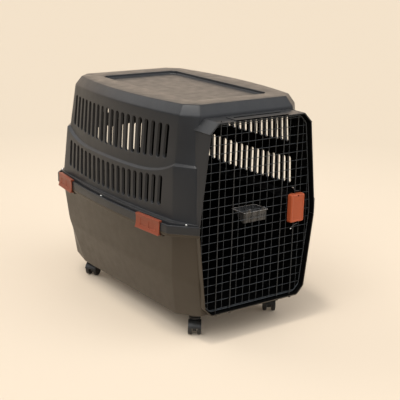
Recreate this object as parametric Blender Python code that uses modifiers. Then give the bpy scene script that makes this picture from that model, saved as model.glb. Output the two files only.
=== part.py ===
"""Wheeled pet travel crate: two vented plastic shells, a wire door, four rim clips, four casters.

Metres, +Z up. The origin is on the floor under the middle of the crate, the door faces -Y,
and left and right are those of a person who stands in front of the door (left is -X).
"""

import math
from collections import namedtuple

import bmesh
import bpy
from mathutils import Matrix, Vector

TOUCH_GAP = 0.0003
FLAT_ENOUGH = 0.0015
WALL = 0.0035

# Shell levels: every level is an eight-sided plan whose long sides swell outwards.
# Its taper makes the front end of a long side wider, its spread widens the rear face.
SIDE_STEPS = 12
ROOF_Z = 0.8085
BAND_Z = 0.776
LEDGE_Z = 0.618
LEDGE_DROP = 0.006
LEDGE_DIP = 0.045
LEDGE_POWER = 4.5
FOOT_Z = 0.434
RIM_TOP_Z = 0.4282
RIM_BOTTOM_Z = 0.4005
PARTING_Z = 0.4000
RIM_PLATE_Z = 0.3910
CREASE_Z = 0.240
SILL_Z = 0.104
REAR_EDGE_Z = 0.086
BOTTOM_EDGE_Z = 0.064
UNDERSIDE_Z = 0.0665
FLOOR_Z = 0.0735
FLOOR_TURN_RISE = 0.016
RECESS_DEPTH = 0.011
RIM_LIP = 0.0035
RIM_EDGE_CHAMFER = 0.0015

# Door neck: the tube with clipped corners that carries the door, from -Y to the body
NECK_FRONT_Y = -0.460
NECK_TOP_Z = 0.7665
NECK_SHOULDER_Z = 0.7333
NECK_WAIST_TOP_Z = 0.428
NECK_WAIST_Z = 0.398
NECK_HIP_Z = 0.1345
NECK_BOTTOM_Z = 0.1046
NECK_TOP_HALF = 0.1814
NECK_SHOULDER_HALF = 0.2148
NECK_WAIST_HALF = 0.2503
NECK_HIP_HALF = 0.2191
NECK_BOTTOM_HALF = 0.1892
NECK_ROOT = 0.010
NECK_PARTING_STEP = 0.0004
DECK_PLATE_LOW = (-0.107, -0.4385, 0.7655)
DECK_PLATE_HIGH = (0.107, -0.375, 0.7705)

# Vent slots
SLOT_WIDTH = 0.0195
SLOT_PITCH = 0.0342
SLOTS_PER_ROW = 19
SLOT_ROW_CENTRE_Y = 0.026
SLOT_ROW_HALF = 0.33
SLOT_END_STEPS = 3
UPPER_SLOT_FOOT_Z = 0.609
UPPER_SLOT_TOP_Z = 0.740
LOWER_SLOT_FOOT_Z = 0.451
LOWER_SLOT_TOP_Z = 0.552
SLOT_RISE = 0.019
REAR_SLOTS = 7
REAR_SLOT_SPANS = ((0.640, 0.740), (0.470, 0.585))

# Door
WIRE = 0.0028
WIRE_PITCH = 0.030
GRILLE_COLUMNS = 8
GRILLE_FOOT_Z = 0.090
GRILLE_ROWS = 24
SMALLEST_GAP = 0.22
FRAME_WIRE = 0.005
DOOR_GAP = 0.005
GRILLE_Y = -0.443
ROD_RADIUS = 0.0025
ROD_HOLE_RADIUS = 0.0033
ROD_X = 0.165
STIFFENER_X = 0.105
ROD_Y = GRILLE_Y - WIRE / 2 - TOUCH_GAP - ROD_RADIUS
ROD_SIDES = 10
BOSS_RADIUS = 0.0055
BOSS_HEIGHT = 0.007

# Latch housing
LATCH_WIDTH = 0.062
LATCH_HEIGHT = 0.102
LATCH_X = 0.167
LATCH_Z = 0.433
LATCH_FRONT_Y = -0.4655
BOLT_CHANNEL_HALF = 0.0034
NOTCH_RADIUS = 0.004
BOLT_TIP_GAP = 0.003
UPPER_BOLT_FOOT_Z = 0.443
LOWER_BOLT_TOP_Z = 0.425
UPPER_GRIP_Z = 0.504
LOWER_GRIP_Z = 0.360
GRIP_HALF = 0.016
GRIP_RADIUS = 0.002

# Bowl
BOWL_HALF_WIDTH = 0.053
BOWL_RIM_Z = 0.442
BOWL_DEPTH = 0.039
BOWL_REACH = 0.072
BOWL_WALL = 0.002
BOWL_CORNER = 0.010
BOWL_FLARE = 0.006
BOWL_TAPER = 0.010
BOWL_HOOK_Z = 0.450
BOWL_HOOK_HALF = 0.006
BOWL_HOOK_WALL = 0.002

# Rim clips
CLIP_LENGTH = 0.128
CLIP_FRONT_Y = -0.2835
CLIP_REAR_Y = 0.320
CLIP_PLATE = 0.004
CLIP_BOTTOM_Z = 0.3770
CLIP_TOP_Z = 0.4350
CLIP_PIVOT_INSET = 0.008
CLIP_PIVOT_Z = 0.3860
CLIP_BARREL_RADIUS = 0.004
CLIP_PIN_RADIUS = 0.0015
LUG_THICKNESS = 0.006

# Casters
CASTER_X = 0.169
CASTER_FRONT_Y = -0.336
CASTER_REAR_Y = 0.358
WHEEL_RADIUS = 0.025
WHEEL_WIDTH = 0.014
WHEEL_INNER = 0.009
CASTER_TRAIL = 0.018
PAD_Z = 0.0655
PAD_RADIUS = 0.022
FORK_TOP_Z = 0.0615
FORK_HALF = 0.007
FENDER_RADIUS = 0.0285
AXLE_RADIUS = 0.003
WHEEL_SIDES = 24
HUB_Z = WHEEL_RADIUS * math.cos(math.pi / WHEEL_SIDES)
STEM_RADIUS = 0.004
WEB_RADIUS = 0.014
FENDER_WALL = 0.0022

PLASTIC_GREY = (0.045, 0.043, 0.041, 1.0)
PLASTIC_WARM = (0.060, 0.055, 0.049, 1.0)
TERRACOTTA = (0.42, 0.115, 0.060, 1.0)
BLACK_WIRE = (0.018, 0.018, 0.019, 1.0)
STEEL_ROD = (0.060, 0.062, 0.064, 1.0)
BLACK_PLASTIC = (0.012, 0.012, 0.012, 1.0)
SMOKED_CLEAR = (0.070, 0.070, 0.072, 1.0)

Level = namedtuple(
    "Level",
    "z side bulge side_front side_rear front rear face dip front_lift rear_lift taper spread",
    defaults=(0.0, 0.0, 0.0, 0.0, 0.0),
)

ROOF = Level(ROOF_Z, 0.227, 0.039, -0.3175, 0.3545, -0.356, 0.393, 0.182)
BAND = Level(BAND_Z, 0.2476, 0.039, -0.330, 0.368, -0.3766, 0.4136, 0.196)
LEDGE_TOP = Level(LEDGE_Z, 0.265, 0.031, -0.336, 0.378, -0.400, 0.431, 0.229, LEDGE_DIP)
LEDGE_EDGE = Level(
    LEDGE_Z - LEDGE_DROP, 0.2755, 0.031, -0.340, 0.384, -0.409, 0.440, 0.2305, LEDGE_DIP
)
FOOT = Level(FOOT_Z, 0.286, 0.0195, -0.3575, 0.397, -0.4445, 0.4515, 0.2497)
RIDGE = Level(FOOT_Z, 0.297, 0.027, -0.3735, 0.409, -0.450, 0.4575, 0.2503, taper=0.0105)
RIM = Level(RIM_TOP_Z, 0.3135, 0.027, -0.381, 0.416, -0.4585, 0.4655, 0.2503, taper=0.0105)
HOLLOW = Level(RIM_BOTTOM_Z, 0.290, 0.0215, -0.364, 0.402, -0.448, 0.455, 0.2503, taper=0.004)
WALL_TOP = Level(RIM_PLATE_Z, 0.286, 0.019, -0.356, 0.400, -0.4445, 0.4500, 0.2503)
CREASE_TOP = Level(CREASE_Z, 0.2635, 0.0115, -0.328, 0.398, -0.4425, 0.436, 0.2340)
CREASE_FOOT = Level(
    CREASE_Z - 0.004, 0.2598, 0.0113, -0.322, 0.388, -0.4425, 0.424, 0.2336, spread=0.006
)
BOTTOM = Level(
    BOTTOM_EDGE_Z, 0.223, 0.0, -0.295, 0.345, -0.440, 0.416, 0.2155,
    0.0, SILL_Z - BOTTOM_EDGE_Z, REAR_EDGE_Z - BOTTOM_EDGE_Z, spread=0.0055,
)
UNDERSIDE = Level(UNDERSIDE_Z, 0.214, 0.0, -0.288, 0.338, -0.302, 0.350, 0.199)
RECESS = Level(ROOF_Z, 0.166, 0.0, -0.262, 0.291, -0.281, 0.310, 0.147)


def make_collection(name):
    collection = bpy.data.collections.new(name)
    bpy.context.scene.collection.children.link(collection)
    return collection


def make_material(name, colour, roughness, metallic=0.0, alpha=1.0):
    material = bpy.data.materials.new(name)
    material.use_nodes = True
    shader = material.node_tree.nodes["Principled BSDF"]
    shader.inputs["Base Color"].default_value = colour
    shader.inputs["Roughness"].default_value = roughness
    shader.inputs["Metallic"].default_value = metallic
    shader.inputs["Alpha"].default_value = alpha
    return material


def add_object(name, mesh, collection, material=None, location=(0.0, 0.0, 0.0), turn=0.0):
    """Link a mesh as an object, moved to its place and turned about Z."""
    thing = bpy.data.objects.new(name, mesh)
    collection.objects.link(thing)
    thing.location = location
    thing.rotation_euler[2] = turn
    if material is not None:
        mesh.materials.append(material)
        mesh.shade_smooth()
        mesh.set_sharp_from_angle(angle=math.radians(28))
    return thing


def finish_mesh(name, shape):
    """Turn a bmesh into a mesh whose faces all point outwards."""
    bmesh.ops.recalc_face_normals(shape, faces=shape.faces[:])
    mesh = bpy.data.meshes.new(name)
    shape.to_mesh(mesh)
    shape.free()
    return mesh


def box_mesh(name, low, high):
    shape = bmesh.new()
    bmesh.ops.create_cube(shape, size=1.0)
    size = Vector(high) - Vector(low)
    middle = (Vector(high) + Vector(low)) / 2
    for vertex in shape.verts:
        vertex.co = Vector(a * b for a, b in zip(vertex.co, size)) + middle
    return finish_mesh(name, shape)


def cylinder_mesh(name, radius, start, end, sides, turn=0.0):
    """A closed round bar between two points."""
    start, end = Vector(start), Vector(end)
    run = end - start
    shape = bmesh.new()
    place = Matrix.Translation((start + end) / 2) @ run.to_track_quat("Z", "Y").to_matrix().to_4x4()
    bmesh.ops.create_cone(
        shape, cap_ends=True, segments=sides, radius1=radius, radius2=radius,
        depth=run.length, matrix=place @ Matrix.Rotation(turn, 4, "Z"),
    )
    return finish_mesh(name, shape)


def skin_faces(shape, a, b, c, d):
    """One face, or two folded along the outer diagonal where the corners aren't in one plane."""
    normal = (c.co - a.co).cross(d.co - b.co).normalized()
    middle = (a.co + b.co + c.co + d.co) / 4
    twist = (a.co - b.co).dot(normal)
    if abs(twist) < FLAT_ENOUGH:
        shape.faces.new((a, b, c, d))
    elif twist * normal.xy.dot(middle.xy) > 0:
        shape.faces.new((a, b, c))
        shape.faces.new((a, c, d))
    else:
        shape.faces.new((a, b, d))
        shape.faces.new((b, c, d))


def loft_mesh(name, rings):
    """A closed skin through rings of equal point count, capped at both ends."""
    shape = bmesh.new()
    rows = [[shape.verts.new(point) for point in ring] for ring in rings]
    count = len(rows[0])
    for lower, upper in zip(rows, rows[1:]):
        for i in range(count):
            j = (i + 1) % count
            skin_faces(shape, lower[i], lower[j], upper[j], upper[i])
    shape.faces.new(reversed(rows[0]))
    shape.faces.new(rows[-1])
    return finish_mesh(name, shape)


def prism_mesh(name, outline, axis, low, high):
    """Extrude a closed outline along one axis, from low to high."""
    def place(point, height):
        a, b = point
        return {"X": (height, a, b), "Y": (a, height, b), "Z": (a, b, height)}[axis]

    return loft_mesh(name, [[place(p, low) for p in outline], [place(p, high) for p in outline]])


def merge_meshes(name, meshes):
    """Several separate closed meshes in one, for use as one cutter."""
    shape = bmesh.new()
    for mesh in meshes:
        shape.from_mesh(mesh)
    return finish_mesh(name, shape)


def combine(target, cutter_mesh, operation, cutters):
    """Join a helper shape to an object, or cut it out, with a Boolean modifier."""
    turn = target.rotation_euler[2]
    helper = add_object(cutter_mesh.name, cutter_mesh, cutters, None, target.location, turn)
    helper.hide_render = True
    helper.display_type = "WIRE"
    modifier = target.modifiers.new(cutter_mesh.name, "BOOLEAN")
    modifier.operation = operation
    modifier.object = helper
    modifier.solver = "EXACT"


def inset(level, thickness, z=None):
    """The same level for the inner face of a wall."""
    return level._replace(
        z=level.z if z is None else z,
        side=level.side - thickness,
        side_front=level.side_front + thickness / 2,
        side_rear=level.side_rear - thickness / 2,
        front=level.front + thickness,
        rear=level.rear - thickness,
        face=level.face - thickness / 2,
    )


def rim(thickness, z):
    """The rim's plan moved inwards, still meeting the neck at its waist."""
    return inset(RIM, thickness, z)._replace(face=NECK_WAIST_HALF)


def ring(level):
    """Points of a level, anticlockwise from above, from the front right corner to the front."""
    middle = (level.side_front + level.side_rear) / 2
    half = (level.side_rear - level.side_front) / 2
    right_side = []
    for step in range(SIDE_STEPS + 1):
        s = 2 * step / SIDE_STEPS - 1
        x = level.side + level.bulge * (1 - s * s) - level.taper * s
        z = level.z - level.dip * (1 - abs(s) ** LEDGE_POWER)
        right_side.append((x, middle + s * half, z))
    left_side = [(-x, y, z) for x, y, z in reversed(right_side)]
    rear_z = level.z + level.rear_lift
    front_z = level.z + level.front_lift
    rear_x = level.face + level.spread
    rear_face = [(rear_x, level.rear, rear_z), (-rear_x, level.rear, rear_z)]
    front_face = [(-level.face, level.front, front_z), (level.face, level.front, front_z)]
    return right_side + rear_face + left_side + front_face


def clip_outline(points, normal, offset):
    """Keep the part of a convex outline where the point along the normal is below the offset."""
    kept = []
    for here, there in zip(points, points[1:] + points[:1]):
        a = here[0] * normal[0] + here[1] * normal[1] - offset
        b = there[0] * normal[0] + there[1] * normal[1] - offset
        if a <= 0:
            kept.append(here)
        if a * b < 0:
            t = a / (a - b)
            kept.append(tuple(p + t * (q - p) for p, q in zip(here, there)))
    return kept


def edge_lines(points):
    """Outward normal and offset of each edge of a convex outline that runs anticlockwise."""
    lines = []
    for here, there in zip(points, points[1:] + points[:1]):
        run = Vector(there) - Vector(here)
        normal = Vector((run.y, -run.x)).normalized()
        lines.append((normal, normal.dot(Vector(here))))
    return lines


def inset_outline(points, distance):
    """Move every edge of a convex outline inwards by the same distance."""
    lines = edge_lines(points)
    moved = []
    for (n1, d1), (n2, d2) in zip(lines[-1:] + lines[:-1], lines):
        d1, d2 = d1 - distance, d2 - distance
        cross = n1.x * n2.y - n1.y * n2.x
        moved.append(((d1 * n2.y - d2 * n1.y) / cross, (n1.x * d2 - n2.x * d1) / cross))
    return moved


def neck_outline():
    """The door neck seen from the front, anticlockwise from the lower right corner."""
    right = [
        (NECK_BOTTOM_HALF, NECK_BOTTOM_Z),
        (NECK_HIP_HALF, NECK_HIP_Z),
        (NECK_WAIST_HALF, NECK_WAIST_Z),
        (NECK_WAIST_HALF, NECK_WAIST_TOP_Z),
        (NECK_SHOULDER_HALF, NECK_SHOULDER_Z),
        (NECK_TOP_HALF, NECK_TOP_Z),
    ]
    return right + [(-x, z) for x, z in reversed(right)]


def body_front(z):
    """Y of the body's front face at a height, between the levels above and below it."""
    levels = [BAND, LEDGE_TOP, LEDGE_EDGE, FOOT, WALL_TOP, CREASE_TOP]
    heights = [(level.z, level.front) for level in levels] + [(SILL_Z, BOTTOM.front)]
    if z >= heights[0][0]:
        return heights[0][1]
    for (high, y_high), (low, y_low) in zip(heights, heights[1:]):
        if z >= low:
            return y_low + (y_high - y_low) * (z - low) / (high - low)
    return BOTTOM.front


def neck_mesh(name, above, split_z):
    """The solid neck above or below the parting plane, rooted in the body's front wall."""
    side = -1 if above else 1
    outline = clip_outline(neck_outline(), (0, side), side * split_z)
    front = [(x, NECK_FRONT_Y, z) for x, z in outline]
    back = [(x, body_front(z) + NECK_ROOT, z) for x, z in outline]
    return loft_mesh(name, [front, back])


def doorway_mesh(name):
    """The way through the neck and the front wall."""
    outline = inset_outline(neck_outline(), WALL)
    return prism_mesh(name, outline, "Y", NECK_FRONT_Y - 0.02, -0.33)


def slot_outline(centre, low, high):
    """A slot with round ends, as pairs of across and height."""
    radius = SLOT_WIDTH / 2
    points = []
    for base, z, begin in ((1, high - radius, 0.0), (-1, low + radius, math.pi)):
        for step in range(SLOT_END_STEPS + 1):
            angle = begin + math.pi * step / SLOT_END_STEPS
            points.append((centre + radius * math.cos(angle), z + radius * math.sin(angle)))
    return points


def side_slots_mesh(name):
    """Both rows of side vents, cut through both long walls at once."""
    slots = []
    for index in range(SLOTS_PER_ROW):
        y = SLOT_ROW_CENTRE_Y + SLOT_PITCH * (index - (SLOTS_PER_ROW - 1) / 2)
        s2 = ((y - SLOT_ROW_CENTRE_Y) / SLOT_ROW_HALF) ** 2
        rise = SLOT_RISE * s2
        upper = slot_outline(y, UPPER_SLOT_FOOT_Z + rise, UPPER_SLOT_TOP_Z)
        lower = slot_outline(y, LOWER_SLOT_FOOT_Z + rise, LOWER_SLOT_TOP_Z + rise)
        slots.append(prism_mesh("slot", upper, "X", -0.36, 0.36))
        slots.append(prism_mesh("slot", lower, "X", -0.36, 0.36))
    return merge_meshes(name, slots)


def rear_slots_mesh(name):
    slots = []
    for index in range(REAR_SLOTS):
        x = SLOT_PITCH * (index - (REAR_SLOTS - 1) / 2)
        for low, high in REAR_SLOT_SPANS:
            slots.append(prism_mesh("slot", slot_outline(x, low, high), "Y", 0.36, 0.52))
    return merge_meshes(name, slots)


def upper_shell_rings():
    """From the floor of the roof recess, down the outside, round the rim and up the inside."""
    groove_top = RIM_TOP_Z - WALL
    return [
        ring(RECESS._replace(z=ROOF_Z - RECESS_DEPTH)),
        ring(RECESS),
        ring(ROOF),
        ring(BAND),
        ring(LEDGE_TOP),
        ring(LEDGE_EDGE),
        ring(FOOT),
        ring(RIDGE),
        ring(RIDGE._replace(z=RIM_TOP_Z)),
        ring(rim(RIM_EDGE_CHAMFER, RIM_TOP_Z)),
        ring(rim(0.0, RIM_TOP_Z - RIM_EDGE_CHAMFER)),
        ring(rim(0.0, RIM_BOTTOM_Z)),
        ring(rim(RIM_LIP, RIM_BOTTOM_Z)),
        ring(rim(RIM_LIP, groove_top)),
        ring(HOLLOW._replace(z=groove_top)),
        ring(HOLLOW),
        ring(inset(FOOT, WALL, RIM_BOTTOM_Z)),
        ring(inset(FOOT, WALL)),
        ring(inset(LEDGE_EDGE, WALL, LEDGE_EDGE.z - WALL)),
        ring(inset(LEDGE_TOP, WALL, LEDGE_TOP.z - WALL)),
        ring(inset(BAND, WALL, BAND_Z - WALL / 2)),
        ring(inset(ROOF, 1.5 * WALL, ROOF_Z - WALL)),
        ring(inset(RECESS, -WALL, ROOF_Z - WALL)),
        ring(inset(RECESS, -WALL, ROOF_Z - RECESS_DEPTH - WALL)),
    ]


def lower_shell_rings():
    """From the inside floor, up the inside, over the rim plate, down the outside to the pan."""
    floor_edge = inset(UNDERSIDE, WALL, FLOOR_Z)
    floor_turn = inset(BOTTOM, 1.5 * WALL, BOTTOM_EDGE_Z + FLOOR_TURN_RISE)._replace(
        front_lift=BOTTOM.front_lift - FLOOR_TURN_RISE / 2
    )
    return [
        ring(floor_edge),
        ring(floor_turn),
        ring(inset(CREASE_FOOT, WALL)),
        ring(inset(CREASE_TOP, WALL)),
        ring(inset(WALL_TOP, WALL, PARTING_Z)),
        ring(RIM._replace(z=PARTING_Z)),
        ring(RIM._replace(z=RIM_PLATE_Z)),
        ring(WALL_TOP),
        ring(CREASE_TOP),
        ring(CREASE_FOOT),
        ring(BOTTOM),
        ring(UNDERSIDE),
    ]


def rim_place(y):
    """Distance of the rim's outer edge from the middle at a place along it, and its slope."""
    middle = (RIM.side_front + RIM.side_rear) / 2
    half = (RIM.side_rear - RIM.side_front) / 2
    s = (y - middle) / half
    reach = RIM.side + RIM.bulge * (1 - s * s) - RIM.taper * s
    slope = math.atan((2 * RIM.bulge * s + RIM.taper) / half)
    return reach, slope


def clip_frames():
    """Name, place and turn of each clip: local +X points outwards, local Y along the rim."""
    for end, y in (("front", CLIP_FRONT_Y), ("rear", CLIP_REAR_Y)):
        reach, slope = rim_place(y)
        yield f"{end}_left", Vector((-reach, y, 0.0)), math.pi - slope
        yield f"{end}_right", Vector((reach, y, 0.0)), slope


def placed(mesh, place, turn):
    """A copy of a mesh moved and turned about Z, for a helper of another object."""
    copy = mesh.copy()
    copy.transform(Matrix.Translation(place) @ Matrix.Rotation(turn, 4, "Z"))
    return copy


def lug_mesh(place, turn, side):
    """One lug under the rim plate, which carries an end of a clip's pin."""
    centre = side * (CLIP_LENGTH / 2 + TOUCH_GAP * 2 + LUG_THICKNESS / 2)
    low = (-0.0225, centre - LUG_THICKNESS / 2, CLIP_PIVOT_Z - 0.0045)
    high = (-0.0030, centre + LUG_THICKNESS / 2, RIM_PLATE_Z + 0.002)
    return placed(box_mesh("lug", low, high), place, turn)


def pin_bore_mesh(place, turn):
    """The bore for a clip's pin through both of its lugs."""
    reach = CLIP_LENGTH / 2 + LUG_THICKNESS + 0.004
    radius = CLIP_PIN_RADIUS + TOUCH_GAP
    start = (-CLIP_PIVOT_INSET, -reach, CLIP_PIVOT_Z)
    end = (-CLIP_PIVOT_INSET, reach, CLIP_PIVOT_Z)
    return placed(cylinder_mesh("bore", radius, start, end, 8), place, turn)


def build_upper_shell(parts, cutters, material):
    shell = add_object("upper_shell", loft_mesh("upper_shell", upper_shell_rings()), parts, material)
    combine(shell, neck_mesh("upper_neck", True, RIM_BOTTOM_Z + NECK_PARTING_STEP), "UNION", cutters)
    plate = box_mesh("deck_plate", DECK_PLATE_LOW, DECK_PLATE_HIGH)
    combine(shell, plate, "UNION", cutters)
    combine(shell, doorway_mesh("upper_doorway"), "DIFFERENCE", cutters)
    holes = [
        cylinder_mesh("pin_hole", ROD_HOLE_RADIUS, (x, ROD_Y, 0.755), (x, ROD_Y, 0.780), ROD_SIDES)
        for x in (-ROD_X, ROD_X)
    ]
    combine(shell, merge_meshes("top_pin_holes", holes), "DIFFERENCE", cutters)
    combine(shell, side_slots_mesh("side_slots"), "DIFFERENCE", cutters)
    combine(shell, rear_slots_mesh("rear_slots"), "DIFFERENCE", cutters)


def build_lower_shell(parts, cutters, material):
    shell = add_object("lower_shell", loft_mesh("lower_shell", lower_shell_rings()), parts, material)
    combine(shell, neck_mesh("lower_neck", False, PARTING_Z - NECK_PARTING_STEP), "UNION", cutters)
    bosses = []
    for x in (-ROD_X, -STIFFENER_X, STIFFENER_X, ROD_X):
        top = (x, ROD_Y, NECK_BOTTOM_Z + WALL / 2)
        foot = (x, ROD_Y, NECK_BOTTOM_Z - BOSS_HEIGHT)
        bosses.append(cylinder_mesh("boss", BOSS_RADIUS, foot, top, ROD_SIDES))
    for x in (-CASTER_X, CASTER_X):
        for y in (CASTER_FRONT_Y, CASTER_REAR_Y):
            pad = cylinder_mesh("pad", PAD_RADIUS, (x, y, PAD_Z), (x, y, FLOOR_Z - 0.001), 20)
            bosses.append(pad)
    combine(shell, merge_meshes("bosses", bosses), "UNION", cutters)
    lugs = [
        lug_mesh(place, turn, side) for name, place, turn in clip_frames() for side in (-1, 1)
    ]
    combine(shell, merge_meshes("clip_lugs", lugs), "UNION", cutters)
    combine(shell, doorway_mesh("lower_doorway"), "DIFFERENCE", cutters)
    holes = [
        cylinder_mesh("pin_hole", ROD_HOLE_RADIUS, (x, ROD_Y, 0.09), (x, ROD_Y, 0.12), ROD_SIDES)
        for x in (-ROD_X, ROD_X)
    ]
    holes += [pin_bore_mesh(place, turn) for name, place, turn in clip_frames()]
    combine(shell, merge_meshes("bottom_holes", holes), "DIFFERENCE", cutters)


def grille_gaps(frame_inside):
    """The open cells between the wires, cut to the inside of the frame wire."""
    lines = edge_lines(frame_inside)
    open_width = WIRE_PITCH - WIRE
    gaps = []
    for column in range(-GRILLE_COLUMNS, GRILLE_COLUMNS + 1):
        for row in range(GRILLE_ROWS):
            x = column * WIRE_PITCH - open_width / 2
            z = GRILLE_FOOT_Z + row * WIRE_PITCH + WIRE / 2
            cell = [(x, z), (x + open_width, z), (x + open_width, z + open_width), (x, z + open_width)]
            for normal, offset in lines:
                cell = clip_outline(cell, normal, offset) if len(cell) > 2 else []
            if len(cell) > 2 and outline_area(cell) > SMALLEST_GAP * open_width ** 2:
                gaps.append(cell)
    return gaps


def outline_area(points):
    doubled = sum(a[0] * b[1] - b[0] * a[1] for a, b in zip(points, points[1:] + points[:1]))
    return abs(doubled) / 2


def flat_curve_mesh(name, outlines, thickness):
    """Fill flat outlines, the first one outside and the rest holes, and give them a thickness."""
    curve = bpy.data.curves.new(name, "CURVE")
    curve.dimensions = "2D"
    curve.fill_mode = "BOTH"
    curve.extrude = thickness / 2
    for outline in outlines:
        spline = curve.splines.new("POLY")
        spline.points.add(len(outline) - 1)
        for point, (across, up) in zip(spline.points, outline):
            point.co = (across, up, 0.0, 1.0)
        spline.use_cyclic_u = True
    holder = bpy.data.objects.new(name, curve)
    bpy.context.scene.collection.objects.link(holder)
    evaluated = holder.evaluated_get(bpy.context.evaluated_depsgraph_get())
    mesh = bpy.data.meshes.new_from_object(evaluated)
    bpy.data.objects.remove(holder)
    shape = bmesh.new()
    shape.from_mesh(mesh)
    bmesh.ops.remove_doubles(shape, verts=shape.verts[:], dist=0.00005)
    return finish_mesh(name, shape)


def build_door(parts, cutters, materials):
    outline = inset_outline(neck_outline(), WALL + DOOR_GAP)
    gaps = grille_gaps(inset_outline(outline, FRAME_WIRE))
    mesh = flat_curve_mesh("door_grille", [outline] + gaps, WIRE)
    mesh.transform(Matrix.Rotation(math.pi / 2, 4, "X"))
    mesh.transform(Matrix.Translation((ROD_X, GRILLE_Y - ROD_Y, 0.0)))
    add_object("door_grille", mesh, parts, materials["wire"], (-ROD_X, ROD_Y, 0.0))

    low, high = NECK_BOTTOM_Z - BOSS_HEIGHT + 0.001, NECK_TOP_Z + 0.005
    rod = cylinder_mesh("door_hinge_rod", ROD_RADIUS, (0, 0, low), (0, 0, high), ROD_SIDES)
    add_object("door_hinge_rod", rod, parts, materials["rod"], (-ROD_X, ROD_Y, 0.0))
    for name, x in (("door_stiffener_left", -STIFFENER_X), ("door_stiffener_right", STIFFENER_X)):
        low, high = NECK_BOTTOM_Z + WALL + DOOR_GAP, NECK_TOP_Z - WALL - DOOR_GAP
        rod = cylinder_mesh(name, ROD_RADIUS, (0, 0, low), (0, 0, high), ROD_SIDES)
        add_object(name, rod, parts, materials["rod"], (x, ROD_Y, 0.0))


def build_latch(parts, cutters, materials):
    """A housing in front of the grille, and the two bolts that run up and down from it."""
    back = GRILLE_Y - WIRE / 2 - TOUCH_GAP - LATCH_FRONT_Y
    half_width, half_height = LATCH_WIDTH / 2, LATCH_HEIGHT / 2
    mesh = box_mesh("latch_housing", (-half_width, 0.0, -half_height), (half_width, back, half_height))
    housing = add_object(
        "latch_housing", mesh, parts, materials["terracotta"], (LATCH_X, LATCH_FRONT_Y, LATCH_Z)
    )
    bevel = housing.modifiers.new("rounded_edges", "BEVEL")
    bevel.width = 0.005
    bevel.segments = 2
    bevel.limit_method = "ANGLE"
    channel_x = ROD_X - LATCH_X
    channel_y = ROD_Y - LATCH_FRONT_Y
    low = (channel_x - BOLT_CHANNEL_HALF, channel_y - BOLT_CHANNEL_HALF, -LATCH_HEIGHT)
    high = (channel_x + BOLT_CHANNEL_HALF, 2 * back, LATCH_HEIGHT)
    channel = box_mesh("bolt_channel", low, high)
    combine(housing, channel, "DIFFERENCE", cutters)
    for name, sign in (("top_notch", 1), ("bottom_notch", -1)):
        z = sign * (half_height - NOTCH_RADIUS / 2)
        ends = (channel_x, -back / 2, z), (channel_x, back / 2, z)
        combine(housing, cylinder_mesh(name, NOTCH_RADIUS, *ends, 10), "DIFFERENCE", cutters)

    top_z, foot_z = NECK_TOP_Z - WALL - BOLT_TIP_GAP, NECK_BOTTOM_Z + WALL + BOLT_TIP_GAP
    bolts = (
        ("latch_bolt_upper", UPPER_BOLT_FOOT_Z, top_z, UPPER_GRIP_Z),
        ("latch_bolt_lower", foot_z, LOWER_BOLT_TOP_Z, LOWER_GRIP_Z),
    )
    for name, low, high, grip_z in bolts:
        rod = cylinder_mesh(name, ROD_RADIUS, (0, 0, low), (0, 0, high), ROD_SIDES)
        bolt = add_object(name, rod, parts, materials["rod"], (ROD_X, ROD_Y, 0.0))
        ends = (-GRIP_HALF, 0, grip_z), (GRIP_HALF, 0, grip_z)
        grip = cylinder_mesh(name + "_grip", GRIP_RADIUS, *ends, 8)
        combine(bolt, grip, "UNION", cutters)


def bowl_section(half_width, near, far, z):
    """A rectangle with clipped corners, anticlockwise from above."""
    cut = BOWL_CORNER
    return [
        (half_width - cut, near, z), (half_width, near + cut, z),
        (half_width, far - cut, z), (half_width - cut, far, z),
        (cut - half_width, far, z), (-half_width, far - cut, z),
        (-half_width, near + cut, z), (cut - half_width, near, z),
    ]


def build_bowl(parts, cutters, material):
    """An open bowl with a flared rim, hung on a grille wire by two hooks."""
    near = WIRE / 2 + TOUCH_GAP
    far = near + BOWL_REACH
    rim_z, floor_z = BOWL_RIM_Z, BOWL_RIM_Z - BOWL_DEPTH
    half, wall = BOWL_HALF_WIDTH, BOWL_WALL

    def section(inwards, z):
        return bowl_section(half - inwards, near + inwards, far - inwards, z)

    sections = [
        section(BOWL_TAPER, floor_z),
        section(BOWL_FLARE, rim_z - wall),
        section(0.0, rim_z - wall),
        section(0.0, rim_z),
        section(BOWL_FLARE + wall, rim_z),
        section(BOWL_TAPER + wall, floor_z + wall),
    ]
    bowl = add_object("water_bowl", loft_mesh("water_bowl", sections), parts, material, (0, GRILLE_Y, 0))
    above = BOWL_HOOK_Z + WIRE / 2 + TOUCH_GAP * 2
    front = -WIRE / 2 - TOUCH_GAP * 2
    foot, tip = rim_z - wall / 2, BOWL_HOOK_Z - wall / 2
    back, top, outside = near + BOWL_HOOK_WALL, above + BOWL_HOOK_WALL, front - BOWL_HOOK_WALL
    profile = [
        (back, foot), (back, top), (outside, top), (outside, tip),
        (front, tip), (front, above), (near, above), (near, foot),
    ]
    hooks = []
    for x in (-WIRE_PITCH, WIRE_PITCH):
        hooks.append(prism_mesh("hook", profile, "X", x - BOWL_HOOK_HALF, x + BOWL_HOOK_HALF))
    combine(bowl, merge_meshes("bowl_hooks", hooks), "UNION", cutters)


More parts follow.
